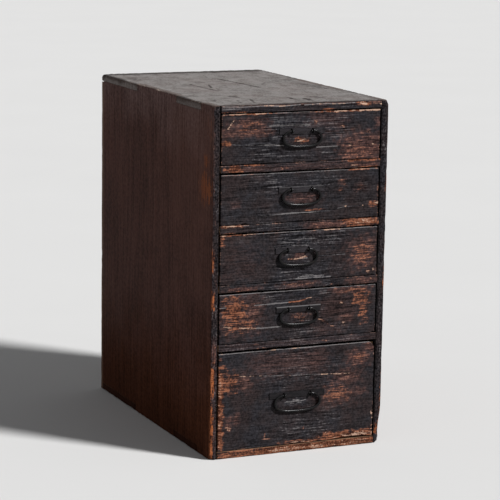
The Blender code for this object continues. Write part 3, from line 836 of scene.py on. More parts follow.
def wornBoard(node, body, slot, board, coats, marks=None, dents=(), seed=0.0):
    form, low, high = boardForm(node, board["cuts"], board["rim"])
    mesh = bpy.data.meshes.new(node + "_board")
    form.to_mesh(mesh)
    form.free()
    points = readValues(mesh.vertices, "co")
    gaps = np.sort(faceDistances(points, low, high, board["exposed"]), axis=0)
    storeValues(mesh, "edge", "FLOAT", gaps[1] / mm)
    storeValues(mesh, "relief", "FLOAT", gaps[0] < skin)
    wear = np.zeros((len(points), 4))
    for plane, groups in (marks or {}).items():  # xz-y: x across and z upright, on the -y face
        first, second = ("xyz".index(letter) for letter in plane[:2])
        field = wearField(points[:, first] / mm, points[:, second] / mm, groups)
        near = faceDistances(points, low, high, [plane[2:]])[0] < skin
        wear = np.maximum(wear, field * near[:, None])
    storeValues(mesh, "wear", "FLOAT_COLOR", wear)
    mesh.vertices.foreach_set("co", dentPoints(points, dents).ravel())
    mesh.update()
    piece = newPiece(node + "_board", mesh)
    runTree(piece, raisedGrain, {
        "Grain Scale": board["grain"], "Grain Warp": board["warp"], "Grain Depth": board["grainDepth"] * mm,
        "Sink": board.get("sink", 0.0) * mm, "Chip Depth": board["chipDepth"] * mm,
        "Chip Reach": board["chipReach"], "Chip Scale": board["chipScale"], "Chip Seed": seed,
        "Finish": coats[0][1],
    })
    paintFaces(piece.data, low, high, coats)
    piece.data.set_sharp_from_angle(angle=sharpAngle)
    handOver(piece, body, slot, node)


rimCuts = (0.5 * mm, 1.0 * mm, 1.6 * mm, 2.4 * mm, 3.4 * mm, 4.6 * mm, 6.0 * mm, 8.0 * mm)
lacquered = {"grain": grainAlong["x"], "warp": lacquer["warp"]}

frontBoards = {
    **lacquered, "exposed": ("-x", "+x", "-y", "-z", "+z"), "rim": rimCuts[:6],
    "cuts": (("z", 0.55 * mm, ("-y", "-x", "+x")), ("x", 1.7 * mm, ("-y", "-z", "+z"))),
    "grainDepth": 0.30, "chipDepth": 0.8, "chipReach": 4.0, "chipScale": 130.0, "seed": 3.7,
}
frontWear = {
    1: (
        ("bare", (-108, -45, 434.0, 436, 1.1), (27, 112, 433.6, 436, 1.1), (-86, -58, 419, 426, 0.45),
         (-111, -97, 396, 403, 0.95), (60, 96, 374, 394, 0.36), (-10, 9, 397, 403.5, 0.75),
         (((-86, 415), (-62, 415.4)), 1.3, 0.85), (((-80, 411), (-40, 410.4)), 1.2, 0.7)),
        ("pale", (-107, -78, 434.4, 436, 0.95), (-66, -50, 434.4, 436, 0.75), (44, 63, 433.8, 436, 1.0),
         (67, 76, 434.0, 436, 0.8), (80, 112, 433.6, 436, 1.05), (65, 70, 390.5, 392, 0.7),
         (80, 84, 390.5, 392, 0.7), (97, 100, 390.5, 392, 0.8), (108, 110, 389.5, 393, 0.8),
         (((-101, 417), (-92.5, 427.5)), 1.1, 1.05), (((-6, 398.4), (5, 400.8)), 1.8, 0.8)),
        ("tan", (-109, -105, 397, 401, 0.8), (15, 20, 418, 424, 0.7), (53, 59, 413, 418, 0.75),
         (87, 95, 405.5, 408, 0.6), (((109.4, 378), (109.4, 424)), 1.2, 0.8)),
        ("rub", (-45, 29, 434.2, 436, 0.6), (-92, -50, 417, 429, 0.9), (-110, -45, 407, 417, 0.8),
         (54, 112, 370, 404, 1.0), (10, 60, 408, 434, 0.35), (102, 110, 413, 424, 0.8)),
        ("grey", (-60, 70, 404, 434, 0.42), (-70, 58, 373, 392, 0.26),
         (((-96, 398), (-75, 396), (-52, 395.6)), 1.2, 0.6),
         (((-52, 395.6), (-38, 395.2), (-25, 394)), 1.3, 0.85),
         (((20, 390), (34, 390.3), (50, 390)), 1.3, 0.85), (((-45, 419), (10, 418.4)), 1.2, 0.7)),
    ),
    2: (
        ("bare", (67, 92, 359.0, 361, 1.0), (95, 110, 312, 318, 0.95), (3, 30, 309.8, 312, 0.45)),
        ("pale", (76, 92, 359.4, 361, 0.7), (103, 110, 314.5, 317, 0.8), (-79, -75.5, 306.5, 309.5, 0.85),
         (61, 64, 312.2, 313.8, 0.8), (85, 88, 312.2, 313.8, 0.7)),
        ("tan", (101, 110, 359.4, 361, 0.7), (52, 63, 339.5, 350.5, 0.58), (52, 59, 332.5, 338.5, 0.58),
         (75, 90, 332, 341.5, 0.5), (106.5, 110, 321, 342, 0.7)),
        ("rub", (-16, 22, 321, 333, 0.75), (-95, -82, 318, 328, 0.4)),
        ("grey", (-75, 60, 336, 359, 0.26), (-15, 20, 321, 332, 0.3), (30, 105, 314, 358, 0.18),
         (((-58, 307.4), (-25, 307.8), (-4, 308.4), (20, 308.2), (38, 309), (50, 311), (62, 313)), 1.6, 0.58),
         (((-26, 308), (-4, 308.6), (20, 308.2)), 2.3, 0.72), (((62, 313), (84, 313)), 1.2, 0.55),
         (((-60, 342.5), (-20, 343), (0, 342), (40, 342.4)), 1.1, 0.6)),
    ),
    3: (
        ("bare", (-110, -103, 272, 286, 0.75), (-110, -58, 284.0, 286, 0.95), (76, 100, 238, 265, 0.5)),
        ("pale", (-108, -98, 284.2, 286, 0.7), (-79, -60, 284.2, 286, 0.85), (33, 52, 284.2, 286, 0.75),
         (102, 104.4, 228, 234.5, 0.9), (((-8, 249.8), (2, 251), (9, 254)), 1.7, 0.75)),
        ("tan", (99, 110, 284.2, 286, 0.5), (78, 96, 242, 262, 0.42), (94, 101, 226.5, 229, 0.8),
         (-17, -7, 249, 251.5, 0.7), (((-9, 249.6), (1, 250.4), (10, 251.4)), 3.4, 0.8)),
        ("rub", (-100, -58, 228, 272, 0.16), (70, 107, 234, 270, 0.85), (-6, 8, 252, 259, 0.9)),
        ("grey", (-32, 66, 260, 285, 0.46), (-24, 64, 224, 248, 0.3), (((24, 252), (64, 252)), 1.2, 0.6),
         (((-2, 250), (11, 250.6)), 2.2, 0.8), (((-6, 224.4), (18, 225), (44, 224.4)), 2.2, 0.62),
         (((-2, 226.4), (12, 227.2), (34, 226.6)), 2.2, 0.62), (((3, 228.6), (20, 228.8)), 1.8, 0.55),
         (((-12, 267), (16, 266.2)), 1.1, 0.65), (((-16, 275), (22, 274.6)), 1.0, 0.6)),
    ),
    4: (
        ("bare", (-105, -82, 194, 209, 0.7)),
        ("black", (-99, -89, 198, 204, 0.8)),
        ("bare", (-103, -74, 176, 200, 1.0), (-100, -60, 162, 178, 0.6), (55, 97, 202.5, 207.5, 0.5),
         (76, 98, 184, 203, 0.7), (85, 96, 170, 186, 0.62),
         (((-14, 195), (0, 195.4), (10, 198), (16, 199)), 1.4, 1.0)),
        ("pale", (62.6, 64.4, 162.6, 164.4, 0.8), (63.6, 64.8, 158.8, 160.2, 0.7),
         (((-102, 170), (-98, 168.6), (-91, 168.2)), 1.3, 0.85),
         (((-82, 167), (-70, 165.6), (-59, 165)), 1.4, 0.8), (((9, 198), (17, 199)), 1.1, 0.8)),
        ("tan", (-86, -58, 162, 168, 0.5), (-102, -97, 154, 168, 0.5), (87, 99, 158, 173, 0.52),
         (57, 64, 188, 190.4, 0.85), (-11, 15, 170, 181, 0.56), (((29, 170), (36.5, 167)), 2.6, 1.1),
         (((36.5, 167), (44, 161.5), (50, 158.6)), 2.2, 0.8)),
        ("rub", (-76, -54, 174, 200, 0.85), (-110, -52, 158, 211, 0.45), (46, 98, 201, 209, 1.0),
         (56, 78, 165, 176, 0.6), (20, 62, 150, 166, 0.28), (30, 84, 170, 198, 0.25)),
        ("grey", (-66, 56, 195, 211, 0.2), (-60, 110, 149, 160, 0.14),
         (((-110, 194), (-94, 194)), 1.2, 0.75), (((-62, 194.4), (-14, 195)), 1.3, 0.8),
         (((-59, 164.8), (-40, 164.4), (-24, 165)), 1.5, 0.9)),
    ),
    5: (
        ("bare", (-111, -102.5, 11, 118, 1.35), (-109, -82, 85, 109, 0.78), (-110, -94, 105, 119, 0.5),
         (79, 97, 111, 121, 0.45), (38, 74, 61, 81, 0.44), (-22, 34, 10, 15, 0.75),
         (36, 110, 10, 19, 1.35)),
        ("pale", (-18, 16, 11, 13.5, 0.5), (60, 109, 11.5, 17, 0.8), (106.5, 110, 34, 46, 0.7),
         (-108, -98, 134.4, 136, 0.6), (-50, -30, 134.4, 136, 0.6), (-10, 2, 134.4, 136, 0.7),
         (((-80, 104.8), (-71, 104.4)), 1.1, 0.85), (((-66, 104.2), (-59, 103.6)), 1.1, 0.8),
         (((-53, 103.2), (-49, 102.8)), 1.1, 0.75), (((-18, 101), (-9, 100.4)), 1.0, 0.7),
         (((34, 98), (43, 97.4)), 1.2, 0.9), (((48, 97.2), (61, 96.5)), 1.2, 0.95),
         (((66, 96.4), (74, 96)), 1.2, 0.9)),
        ("tan", (-110, -104.5, 12, 112, 0.8), (46, 72, 63, 70, 0.4), (-98, -92, 35, 42, 0.95),
         (-45, -43, 18, 27, 0.7), (-48, -38, 19.6, 21.2, 0.55), (7.5, 11, 29, 31.5, 0.6),
         (38, 46, 16, 24, 0.7), (105.5, 110, 14, 27, 0.95)),
        ("rub", (-86, -64, 86, 106, 0.7), (-66, 42, 102, 130, 0.42), (72, 100, 107, 125, 1.0),
         (50, 86, 84, 101, 0.85), (36, 78, 58, 84, 0.66), (78, 98, 68, 76, 0.7), (-100, -90, 41, 54, 0.9),
         (-88, -80, 44, 58, 0.6), (96, 110, 123, 136, 1.0)),
        ("grey", (-75, 70, 14, 52, 0.17), (-16, 14, 60, 71, 0.5), (-60, 70, 78, 131, 0.22),
         (((-106, 105.4), (-82, 105)), 1.1, 0.6), (((-48, 102.6), (-18, 101)), 1.1, 0.7),
         (((-8, 100.4), (33, 98.2)), 1.1, 0.65), (((-15, 66.6), (-8, 65.4)), 1.2, 0.7),
         (((-6, 68.2), (2, 67)), 1.3, 0.75), (((3, 65.2), (13, 67.2)), 1.2, 0.7),
         (((-9, 63), (-2, 62.4)), 1.2, 0.65)),
    ),
}
frontDents = {
    5: (((110, -190, 136), (9, 30, 9), (-3.2, 0, -3.2)), ((76, -197, 9), (42, 6, 4), (0, 1.6, 1.6))),
}
upperEdge = {"reach": 109, "width": 1.6, "strength": 0.75}  # the line along each front's top: partly rubbed, partly a painted highlight where the upper arris catches the light

for number in range(1, 6):
    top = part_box(f"drawer_{number}_front")[1].z / mm
    line = ((-upperEdge["reach"], top), (upperEdge["reach"], top))
    marks = (*frontWear[number], ("grey", (line, upperEdge["width"], upperEdge["strength"])))
    wornBoard(
        f"drawer_{number}_front", f"drawer_{number}", "worn_lacquer", frontBoards,
        [((), plainAcross), (("-y", "-x", "+x", "-z", "+z"), frontLacquer)], {"xz-y": marks},
        frontDents.get(number, ()), number * frontBoards["seed"],
    )
print("drawer fronts are worn")

railBoards = {
    **lacquered, "exposed": ("-y", "-z", "+z"), "rim": rimCuts[:4],
    "cuts": (("z", 0.55 * mm, ("-y",)), ("x", 1.7 * mm, ("-y", "-z", "+z"))),
    "grainDepth": 0.28, "chipDepth": 0.5, "chipReach": 3.0, "chipScale": 150.0, "seed": 5.3,
}
railWear = {
    1: (
        ("bare", (-101, -83, 362.5, 372, 1.25), (-84, -56, 370.4, 372.4, 0.8),
         (60, 108, 370.2, 372.4, 0.85), (80, 106, 362, 364, 0.7)),
        ("tan", (-98, -88, 365, 371, 0.75), (-31, -18, 364.5, 369, 0.6), (68, 77, 363.6, 366.4, 0.8)),
        ("rub", (-88, -45, 362, 372, 0.48), (-45, 70, 362, 372, 0.34), (66, 110, 362, 372, 0.8)),
        ("grey", (-70, 60, 362, 371, 0.24)),
    ),
    2: (
        ("bare", (-109, -80, 294.8, 297.4, 1.1), (54, 76, 294.6, 297, 0.9), (68, 109, 286.5, 298, 1.3),
         (-108, -92, 286, 288, 0.7)),
        ("pale", (-104, -84, 295.2, 297, 0.7), (76, 104, 289, 296, 0.46)),
        ("tan", (14, 68, 288.5, 292, 0.4)),
        ("rub", (10, 75, 287, 296, 0.8)),
        ("grey", (-72, 10, 287.5, 296, 0.32), (((-80, 296), (-70, 296)), 1.0, 0.8)),
    ),
    3: (
        ("bare", (-92, -74, 212.5, 216, 0.5)),
        ("tan", (-61, -56, 214, 216.5, 0.7), (99, 107, 216.5, 220.5, 0.6), (43, 47, 213, 215.5, 0.6),
         (((-22, 218.6), (-4, 218)), 1.3, 0.75), (((-2, 216.6), (20, 217.6)), 1.2, 0.7)),
        ("rub", (-97, -60, 212, 219, 1.0), (70, 110, 212, 221, 0.8), (-26, 24, 213, 221, 0.6)),
        ("grey", (-60, 60, 212.5, 221, 0.3)),
    ),
    4: (
        ("tan", (-62, -54, 142, 146, 0.5), (34, 42, 139, 144, 0.62), (79, 84, 138, 141, 0.6),
         (-58, -44, 138, 140.4, 0.5)),
        ("rub", (-108, 108, 137, 147, 0.22)),
        ("grey", (-105, 105, 137.5, 146.5, 0.3)),
    ),
}
railDents = {
    1: (((-100, -197.5, 361.5), (60, 8, 3), (0, 0, 1.0)),),
    3: (((-80, -197.5, 211.5), (70, 9, 4), (0, 0, 1.1)),),
    4: (((0, -197.5, 136.5), (300, 10, 4), (0, 0, 1.4)),),
}
for number in range(1, 5):
    wornBoard(
        f"rail_{number}", "case", "worn_lacquer", railBoards,
        [((), shelfWood), (("-y", "-z", "+z"), frontLacquer)], {"xz-y": railWear[number]},
        railDents.get(number, ()), number * railBoards["seed"],
    )
print("rails are worn")

# the case
sideBoards = {
    "rim": rimCuts, "grain": stain["grain"], "warp": stain["warp"], "grainDepth": 0.10,
    "chipDepth": 0.7, "chipReach": 4.5, "chipScale": 90.0,
}
leftWear = {
    "yz-x": (
        ("bare", (-194, -178, 328, 352, 1.15), (-186, -156, 326, 360, 0.75), (-186, -170, 368, 384, 0.6),
         (-199, -196, 242, 266, 0.45), (-199, -196, 192, 214, 0.45), (-199, -195.5, 4, 118, 0.45),
         (192, 199, 4, 110, 0.5), (-193, -180, 400, 430, 0.45)),
        ("pale", (((109, 203), (189, 203)), 1.0, 0.8), (((176, 4), (176, 98)), 1.2, 0.6),
         (((60, 445.4), (34, 445.2)), 1.3, 0.8), (((-4, 445.4), (-22, 445.2)), 1.3, 0.9),
         (((-150, 445.3), (-162, 445.3)), 1.2, 0.8)),
        ("rub", (-192, -60, 285, 440, 0.8), (-192, -76, 190, 285, 0.35)),
    ),
    "xz-y": (
        ("bare", (-121, -116.5, 243, 268, 0.85), (-121, -116, 192, 214, 0.9),
         (-120.5, -115, 84, 118, 1.15), (-121, -116, 2, 66, 1.05)),
        ("tan", (-120, -117.5, 244, 254, 0.6), (-120, -117, 192, 206, 0.55), (-119, -113, 122, 148, 0.4),
         (-119, -116, 90, 112, 0.3), (-119, -115, 300, 314, 0.42), (-116, -112, 218, 240, 0.38)),
        ("rub", (-120, -111, 120, 150, 0.75), (-119, -111, 1, 120, 0.25)),
    ),
}
rightWear = {
    "xz-y": (
        ("bare", (110, 120, 13, 29, 0.8)),
    ),
    "yz+x": (
        ("bare", (-199, -193, 30, 96, 0.55), (-199, -194, 204, 236, 0.5), (-199, -195, 330, 352, 0.45),
         (190, 199, 2, 84, 0.5), (-130, -50, 190, 250, 0.14), (70, 150, 320, 360, 0.12)),
        ("pale", (((-92, 262), (-20, 268)), 1.0, 0.8), (((40, 96), (118, 90), (150, 92)), 1.1, 0.7),
         (((-150, 4), (-150, 60)), 1.1, 0.6), (((-60, 445.3), (-30, 445.3)), 1.2, 0.8)),
        ("rub", (-180, -70, 250, 430, 0.7), (20, 150, 120, 300, 0.5)),
    ),
}
leftDents = (
    ((-120, -197.5, 446), (6, 6, 6), (1.2, 1.2, -1.2)), ((-120, -197.5, 0), (7, 7, 9), (1.6, 1.6, 1.4)),
    ((-110, -197.5, 223), (2.4, 5, 2000), (-1.2, 1.2, 0)),
)
rightDents = (
    ((120, -197.5, 446), (7, 7, 7), (-1.3, 1.3, -1.3)), ((120, -197.5, 17), (9, 12, 34), (-2.3, 2.0, 0)),
    ((120, -197.5, 0), (9, 9, 10), (-1.8, 1.8, 2.2)), ((110, -197.5, 223), (2.4, 5, 2000), (0.7, 0.8, 0)),
)
for name, outer, coat, marks, dents, seed in (
    ("left_side", "-x", sideStain, leftWear, leftDents, 10.0),
    ("right_side", "+x", shadedStain, rightWear, rightDents, 12.0),
):
    board = {
        **sideBoards, "exposed": (outer, "-y", "+z", "-z"),
        "cuts": (
            ("y", 1.6 * mm, (outer, "+z", "-z")), ("x", 1.0 * mm, ("-y",)), ("z", 5.0 * mm, (outer, "-y")),
        ),
    }
    coats = [((), caseInside), ((outer, "-z"), coat), (("-y",), uprightLacquer), (("+z",), topEndGrain)]
    wornBoard(name, "case", "side_stain", board, coats, marks, dents, seed)

topBoards = {
    "exposed": ("-x", "+x", "-y", "+y", "+z"), "rim": rimCuts,
    "cuts": (
        ("y", 1.3 * mm, ("+z", "-x", "+x")), ("z", 0.6 * mm, ("-y", "+y")),
        ("x", 2.0 * mm, ("+z", "-y", "+y")),
    ),
    "grain": topBoard["grain"], "warp": topBoard["warp"], "grainDepth": 0.22,
    "chipDepth": 1.2, "chipReach": 4.5, "chipScale": 110.0, "seed": 21.0,
}
topWear = {
    "xy+z": (
        ("bare", (-122, -113, -16, 18, 0.6)),
        ("rub", (-120, 120, 172, 214, 0.85), (-120, 120, -214, -186, 0.7), (106, 130, -200, 200, 0.3),
         (5, 12, -156, -136, 1.1), (20, 28, -170, -148, 1.15), (36, 56, -156, -130, 0.6),
         (-62, -48, -120, -96, 0.6), (-110, -92, -150, -130, 0.5), (84, 108, -60, 60, 0.45),
         (-112, -86, 90, 150, 0.42), (-124, -112, -24, 24, 0.7), (((-64, 48), (-58, 22)), 3.4, 0.7),
         (((-53, 40), (-51, 0), (-48, -44)), 4.0, 0.9), (((11, 88), (17, 34), (22, -18)), 5.0, 0.85),
         (((-32, 26), (-42, -6)), 3.6, 1.0), (((-38, -12), (-42, -34)), 2.6, 0.8),
         (((40, 14), (52, 32)), 3.4, 0.6), (((92, -16), (102, -60)), 5.0, 0.75),
         (((2, 112), (10, 146)), 3.0, 0.55), (((-98, -148), (-92, -134)), 4.4, 0.7),
         (((-46, -140), (-57, -178)), 4.0, 0.7), (((-74, -176), (-66, -146)), 4.0, 0.6),
         (((-56, -98), (-52, -118)), 4.4, 0.75), (((-92, 150), (-98, 118)), 3.4, 0.55)),
    ),
    "xz-y": (
        ("bare", (76, 93, 440.5, 446, 1.1), (-109, -75, 437, 438.4, 0.7), (28, 44, 437, 438.6, 1.0)),
        ("pale", (79, 89, 441.5, 445.4, 0.95), (107, 112, 440.4, 443, 0.8), (-18, 10, 439, 444, 0.3),
         # these pale strokes are painted highlights along the upper arris
         (((-52, 444.4), (-40, 444.4)), 1.2, 0.8), (((-32, 443.4), (-18, 443.8)), 1.2, 0.8),
         (((12, 444.2), (26, 444.4)), 1.1, 0.7), (((40, 443.8), (58, 443.8)), 1.2, 0.75)),
        ("tan", (94, 108, 441.4, 443.4, 0.6)),
        # grey on the front edge: painted glossy highlights along the arris, over some scuffing
        ("grey", (-112, 74, 438.5, 446, 0.3), (((-108, 444.6), (-78, 443.8), (-46, 444.4)), 1.4, 0.8),
         (((-46, 444.4), (-28, 443.2), (-4, 444.2)), 1.5, 0.9),
         (((2, 443.6), (22, 444.6), (48, 443.6), (72, 444.4)), 1.4, 0.85),
         (((-112, 441), (-84, 441.6)), 1.2, 0.7)),
    ),
}
topDents = (
    ((84, -197.5, 446), (9, 5, 5), (0, 1.2, -1.6)), ((-120, 197.5, 446), (7, 7, 5), (0.9, -0.9, -0.9)),
)
wornBoard(
    "top_board", "case", "weathered_top", topBoards,
    [((), caseInside), (("+z", "+y"), topWood), (("-x", "+x"), topEndGrain), (("-y",), frontLacquer)],
    topWear, topDents, topBoards["seed"],
)

bottomBoards = {
    **lacquered, "exposed": ("-x", "+x", "-y", "-z"), "rim": rimCuts[:5],
    "cuts": (("z", 0.6 * mm, ("-y",)), ("x", 3.0 * mm, ("-y", "-z")), ("y", 12.0 * mm, ("-x", "+x", "-z"))),
    "grainDepth": 0.28, "chipDepth": 1.3, "chipReach": 4.0, "chipScale": 120.0, "seed": 31.0,
}
bottomWear = {
    "xz-y": (
        ("bare", (-118, -45, -4, 13, 0.78), (-60, 118, -4, 13, 1.3), (-110, -92, 5, 9, 0.8)),
        ("pale", (-44, 108, 1.5, 8.5, 0.44)),
    ),
}
wornBoard(
    "bottom_board", "case", "worn_lacquer", bottomBoards,
    [((), shelfWood), (("-x", "+x"), shadedStain), (("-y",), frontLacquer)], bottomWear,
    seed=bottomBoards["seed"],
)

backBoards = {
    "exposed": ("-x", "+x", "+y", "-z", "+z"), "rim": rimCuts[:5],
    "cuts": (("x", 1.6 * mm, ("+y", "-z", "+z")), ("z", 8.0 * mm, ("+y", "-x", "+x"))),
    "grain": grainAlong["z"], "warp": plainWood["warp"], "grainDepth": 0.30, "sink": 0.25,
    "chipDepth": 0.8, "chipReach": 4.0, "chipScale": 100.0, "seed": 41.0,
}
wornBoard(
    "back_panel", "case", "back_wood", backBoards,
    [((), caseInside), (("+y", "-x", "+x", "-z", "+z"), backWood)], seed=backBoards["seed"],
)

shelfBoards = {
    "exposed": ("-y", "+z", "-z"), "rim": rimCuts[:3],
    "cuts": (("y", 3.0 * mm, ("+z", "-z")), ("x", 12.0 * mm, ("+z", "-z", "-y"))),
    "grain": grainAlong["x"], "warp": plainWood["warp"], "grainDepth": 0.15,
    "chipDepth": 0.3, "chipReach": 2.0, "chipScale": 100.0, "seed": 50.0,
}
for number in range(1, 5):
    seed = shelfBoards["seed"] + number
    wornBoard(f"shelf_{number}", "case", "bare_wood", shelfBoards, [((), shelfWood)], seed=seed)
print("case boards are worn")

# the drawers' plain boards
boxBoards = {
    "rim": rimCuts[:4], "warp": plainWood["warp"], "grainDepth": 0.12,
    "chipDepth": 0.5, "chipReach": 2.5, "chipScale": 120.0, "seed": 60.0,
}
sideBoxBoards = {
    **boxBoards, "exposed": ("-x", "+x", "+y", "-z", "+z"), "grain": grainAlong["y"],
    "cuts": (("z", 1.8 * mm, ("-x", "+x")), ("y", 8.0 * mm, ("-x", "+x", "+z"))),
}
backBoxBoards = {
    **boxBoards, "exposed": ("-x", "+x", "-y", "+y", "-z", "+z"), "grain": grainAlong["x"],
    "cuts": (("z", 1.8 * mm, ("-y", "+y")), ("x", 8.0 * mm, ("-y", "+y", "+z"))),
}
bottomBoxBoards = {
    **boxBoards, "exposed": ("-x", "+x", "+y", "-z", "+z"), "grain": grainAlong["x"],
    "cuts": (("y", 2.5 * mm, ("-z", "+z")), ("x", 10.0 * mm, ("-z", "+z"))),
}
for number in range(1, 6):
    body = f"drawer_{number}"
    for part, board, coat in (
        ("left", sideBoxBoards, plainDeep), ("right", sideBoxBoards, plainDeep),
        ("back", backBoxBoards, plainAcross), ("bottom", bottomBoxBoards, plainAcross),
    ):
        wornBoard(f"{body}_{part}", body, "bare_wood", board, [((), coat)], seed=board["seed"] + number)
print("drawer boxes are in place")

# handles
plates = {
    "exposed": ("-x", "+x", "-y", "-z", "+z"), "rim": (0.3 * mm, 0.8 * mm),
    "cuts": (("x", 1.2 * mm, ("-y", "-z", "+z")), ("z", 0.8 * mm, ("-y", "-x", "+x"))),
    "grain": (330, 330, 330), "warp": 0.0, "grainDepth": 0.07,
    "chipDepth": 0.10, "chipReach": 1.2, "chipScale": 300.0, "seed": 70.0,
    "dust": {1: 0.62, 2: 0.70, 3: 0.95, 4: 0.36, 5: 0.26}, "dustMargin": (6, 2),
    "gleam": {2: 0.3, 4: 0.95}, "gleamInset": 1, "gleamWidth": 1.6,  # a painted highlight along the upper edge, by plate
}
bail = {
    "steps": 18, "sides": 16, "waist": 0.45, "squareness": 2 / 2.6, "pin": 1.3 * mm, "pinTip": 1.6 * mm,
    "eyeGap": 0.3 * mm, "swellStart": 4.15 * mm, "swellEnd": 7.15 * mm,
    "hammerDepth": 0.04 * mm, "hammerScale": 70.0, "seed": 4.1,
}
eyePin = {
    "sides": 12, "turns": 9, "bendSteps": 4, "bend": 0.9 * mm, "tail": 7.0 * mm,
    "hammerDepth": 0.05 * mm, "hammerScale": 500.0, "seed": 2.3,
}


def wirePiece(name, points, radii, settings, number):
    mesh = bpy.data.meshes.new(name)
    mesh.from_pydata(points, [(i, i + 1) for i in range(len(points) - 1)], [])
    storeValues(mesh, "thickness", "FLOAT", radii)
    piece = newPiece(name, mesh)
    runTree(piece, forgedWire, {
        "Sides": settings["sides"], "Hammer Depth": settings["hammerDepth"],
        "Hammer Scale": settings["hammerScale"], "Hammer Seed": number * settings["seed"],
        "Finish": handledIron,
    })
    form = bmesh.new()
    form.from_mesh(piece.data)
    bmesh.ops.recalc_face_normals(form, faces=form.faces)
    form.to_mesh(piece.data)
    form.free()
    piece.data.set_sharp_from_angle(angle=rodSharpAngle)
    return piece


def quarter(first, last, steps):  # angles of a quarter turn cut into steps, from the first cut to the last
    return [math.pi / 2 * step / steps for step in range(first, last + 1)]


def bailPath(node, pivot, eyeSpan, wire):  # pin tip to pin tip, hanging from the eye axis
    low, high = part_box(node)
    rod = (high.y - low.y) / 2
    reach = (high.x - low.x) / 2 - rod
    drop = pivot.z - low.z - rod
    waist = drop * bail["waist"]
    pinOut = eyeSpan / 2 + wire / 2 + bail["eyeGap"]
    half = [(eyeSpan / 2 - wire / 2 - bail["pinTip"], 0.0), (pinOut, 0.0)]
    for angle in quarter(1, bail["steps"], bail["steps"]):
        half.append((pinOut + (reach - pinOut) * math.sin(angle), waist * (math.cos(angle) - 1)))
    for angle in quarter(1, bail["steps"] - 1, bail["steps"]):
        down = waist + (drop - waist) * math.sin(angle) ** bail["squareness"]
        half.append((reach * math.cos(angle) ** bail["squareness"], -down))
    whole = half + [(0.0, -drop)] + [(-x, z) for x, z in reversed(half)]
    swell = smoothStep(np.array([-z for x, z in whole]), bail["swellStart"], bail["swellEnd"])
    return [(pivot.x + x, pivot.y, pivot.z + z) for x, z in whole], bail["pin"] + (rod - bail["pin"]) * swell


def eyePinPath(node, pivot):  # tail to tail, round the bail's pin
    low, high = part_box(node)
    wire = (high.x - low.x) / 2
    middle = (high.x + low.x) / 2
    ring = pivot.y - low.y - wire
    tail = high.y - wire - pivot.y
    bend = eyePin["bend"]
    half = [(tail, ring + bend + eyePin["tail"])]
    for angle in quarter(0, eyePin["bendSteps"], eyePin["bendSteps"]):
        half.append((tail - bend * (1 - math.cos(angle)), ring + bend * (1 - math.sin(angle))))
    for angle in quarter(0, eyePin["turns"] - 1, eyePin["turns"]):
        half.append((-ring * math.sin(angle), ring * math.cos(angle)))
    loop = half + [(-ring, 0.0)] + [(y, -z) for y, z in reversed(half)]
    return [(middle, pivot.y + y, pivot.z + z) for y, z in loop], wire


for number in range(1, 6):
    body, handle = f"drawer_{number}", f"handle_{number}"
    pivot = hinges[f"bail_{number}"]
    low, high = (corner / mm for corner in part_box(f"{handle}_plate"))
    beside, above = plates["dustMargin"]
    dust = (low.x - beside, high.x + beside, low.z - above, high.z + above, plates["dust"][number])
    edge = ((low.x + plates["gleamInset"], high.z), (high.x - plates["gleamInset"], high.z))
    gleam = (edge, plates["gleamWidth"], plates["gleam"].get(number, 0.0))
    wornBoard(
        f"{handle}_plate", body, "black_iron", plates, [((), blackIron)],
        {"xz-y": (("rub", dust), ("pale", gleam))}, seed=plates["seed"] + number,
    )
    eyes = []
    for hand in ("left", "right"):
        node = f"{handle}_{hand}_eye"
        path, wire = eyePinPath(node, pivot)
        piece = wirePiece(node + "_pin", path, [wire] * len(path), eyePin, number)
        handOver(piece, body, "black_iron", node)
        eyes.append(path[0][0])
    points, radii = bailPath(f"{handle}_bail", pivot, eyes[1] - eyes[0], wire * 2)
    piece = wirePiece(f"{handle}_bail_rod", points, radii, bail, number)
    handOver(piece, f"bail_{number}", "black_iron", f"{handle}_bail")
print("handles are forged")

# pegs in the drawers' corners and bottoms, nails in the back
pegs = {
    "radius": 1.5 * mm, "height": 0.5 * mm, "proud": 0.12 * mm, "sides": 10, "inset": 3.6 * mm,
    "frontStep": 28 * mm, "backShares": (1 / 6, 5 / 6), "bottomStep": 62 * mm,
}
nails = {
    "radius": 1.7 * mm, "height": 0.7 * mm, "proud": -0.12 * mm, "sides": 12, "inset": 5.0 * mm,
    "rows": 6, "shelfStep": 70 * mm, "seed": 9,
}


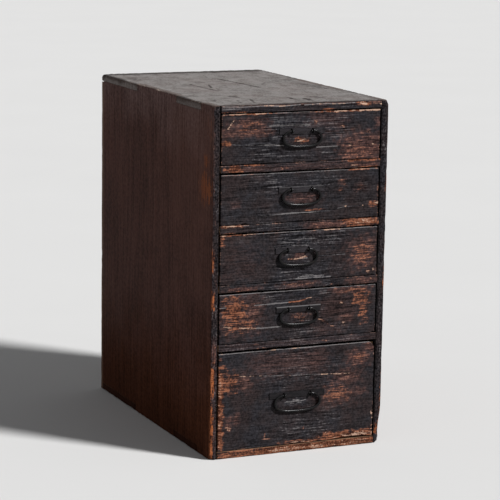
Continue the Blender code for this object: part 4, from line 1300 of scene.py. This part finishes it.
def headPiece(name, places, settings, finish, seed):
    mesh = bpy.data.meshes.new(name)
    sunk = [Vector(at) + ways[way] * (settings["proud"] - settings["height"]) for at, way in places]
    mesh.from_pydata(sunk, [], [])
    storeValues(mesh, "facing", "FLOAT_VECTOR", [ways[way] for at, way in places])
    piece = newPiece(name, mesh)
    runTree(piece, pegHeads, {
        "Radius": settings["radius"], "Height": settings["height"], "Sides": settings["sides"],
        "Seed": seed, "Finish": finish,
    })
    piece.data.set_sharp_from_angle(angle=sharpAngle)
    return piece


def spread(low, high, step):
    count = max(1, round((high - low) / step))
    return [low + (high - low) * (i + 0.5) / count for i in range(count)]


def pegPlaces(body):
    places = []
    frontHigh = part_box(body + "_front")[1]
    inset = pegs["inset"]
    for hand, way in (("left", "-x"), ("right", "+x")):
        low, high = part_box(f"{body}_{hand}")
        face = low.x if way == "-x" else high.x
        for z in spread(low.z, high.z, pegs["frontStep"]):
            places.append(((face, frontHigh.y - inset, z), way))
        for share in pegs["backShares"]:
            places.append(((face, high.y - inset, low.z + (high.z - low.z) * share), way))
    low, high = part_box(body + "_back")
    for x in (low.x + inset, high.x - inset):
        places.append(((x, high.y, (low.z + high.z) / 2), "+y"))
    low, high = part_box(body + "_bottom")
    for x in (low.x + inset, high.x - inset):
        places += [((x, y, low.z), "-z") for y in spread(low.y, high.y, pegs["bottomStep"])]
    for y in (low.y + inset, high.y - inset):
        places += [((x, y, low.z), "-z") for x in spread(low.x, high.x, pegs["bottomStep"])]
    return places


def nailPlaces():
    low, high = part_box("back_panel")
    inset = nails["inset"]
    places = []
    for z in spread(low.z, high.z, (high.z - low.z) / nails["rows"]):
        places += [((x, high.y, z), "+y") for x in (low.x + inset, high.x - inset)]
    shelves = [sum(corner.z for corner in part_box(f"shelf_{number}")) / 2 for number in range(1, 5)]
    for z in [low.z + inset] + shelves:
        places += [((x, high.y, z), "+y") for x in spread(low.x, high.x, nails["shelfStep"])]
    return places


for number in range(1, 6):
    body = f"drawer_{number}"
    handOver(headPiece(body + "_pegs", pegPlaces(body), pegs, pegWood, number), body, "bare_wood")
handOver(headPiece("back_nails", nailPlaces(), nails, blackIron, nails["seed"]), "case", "black_iron")
print("pegs and nails are driven")
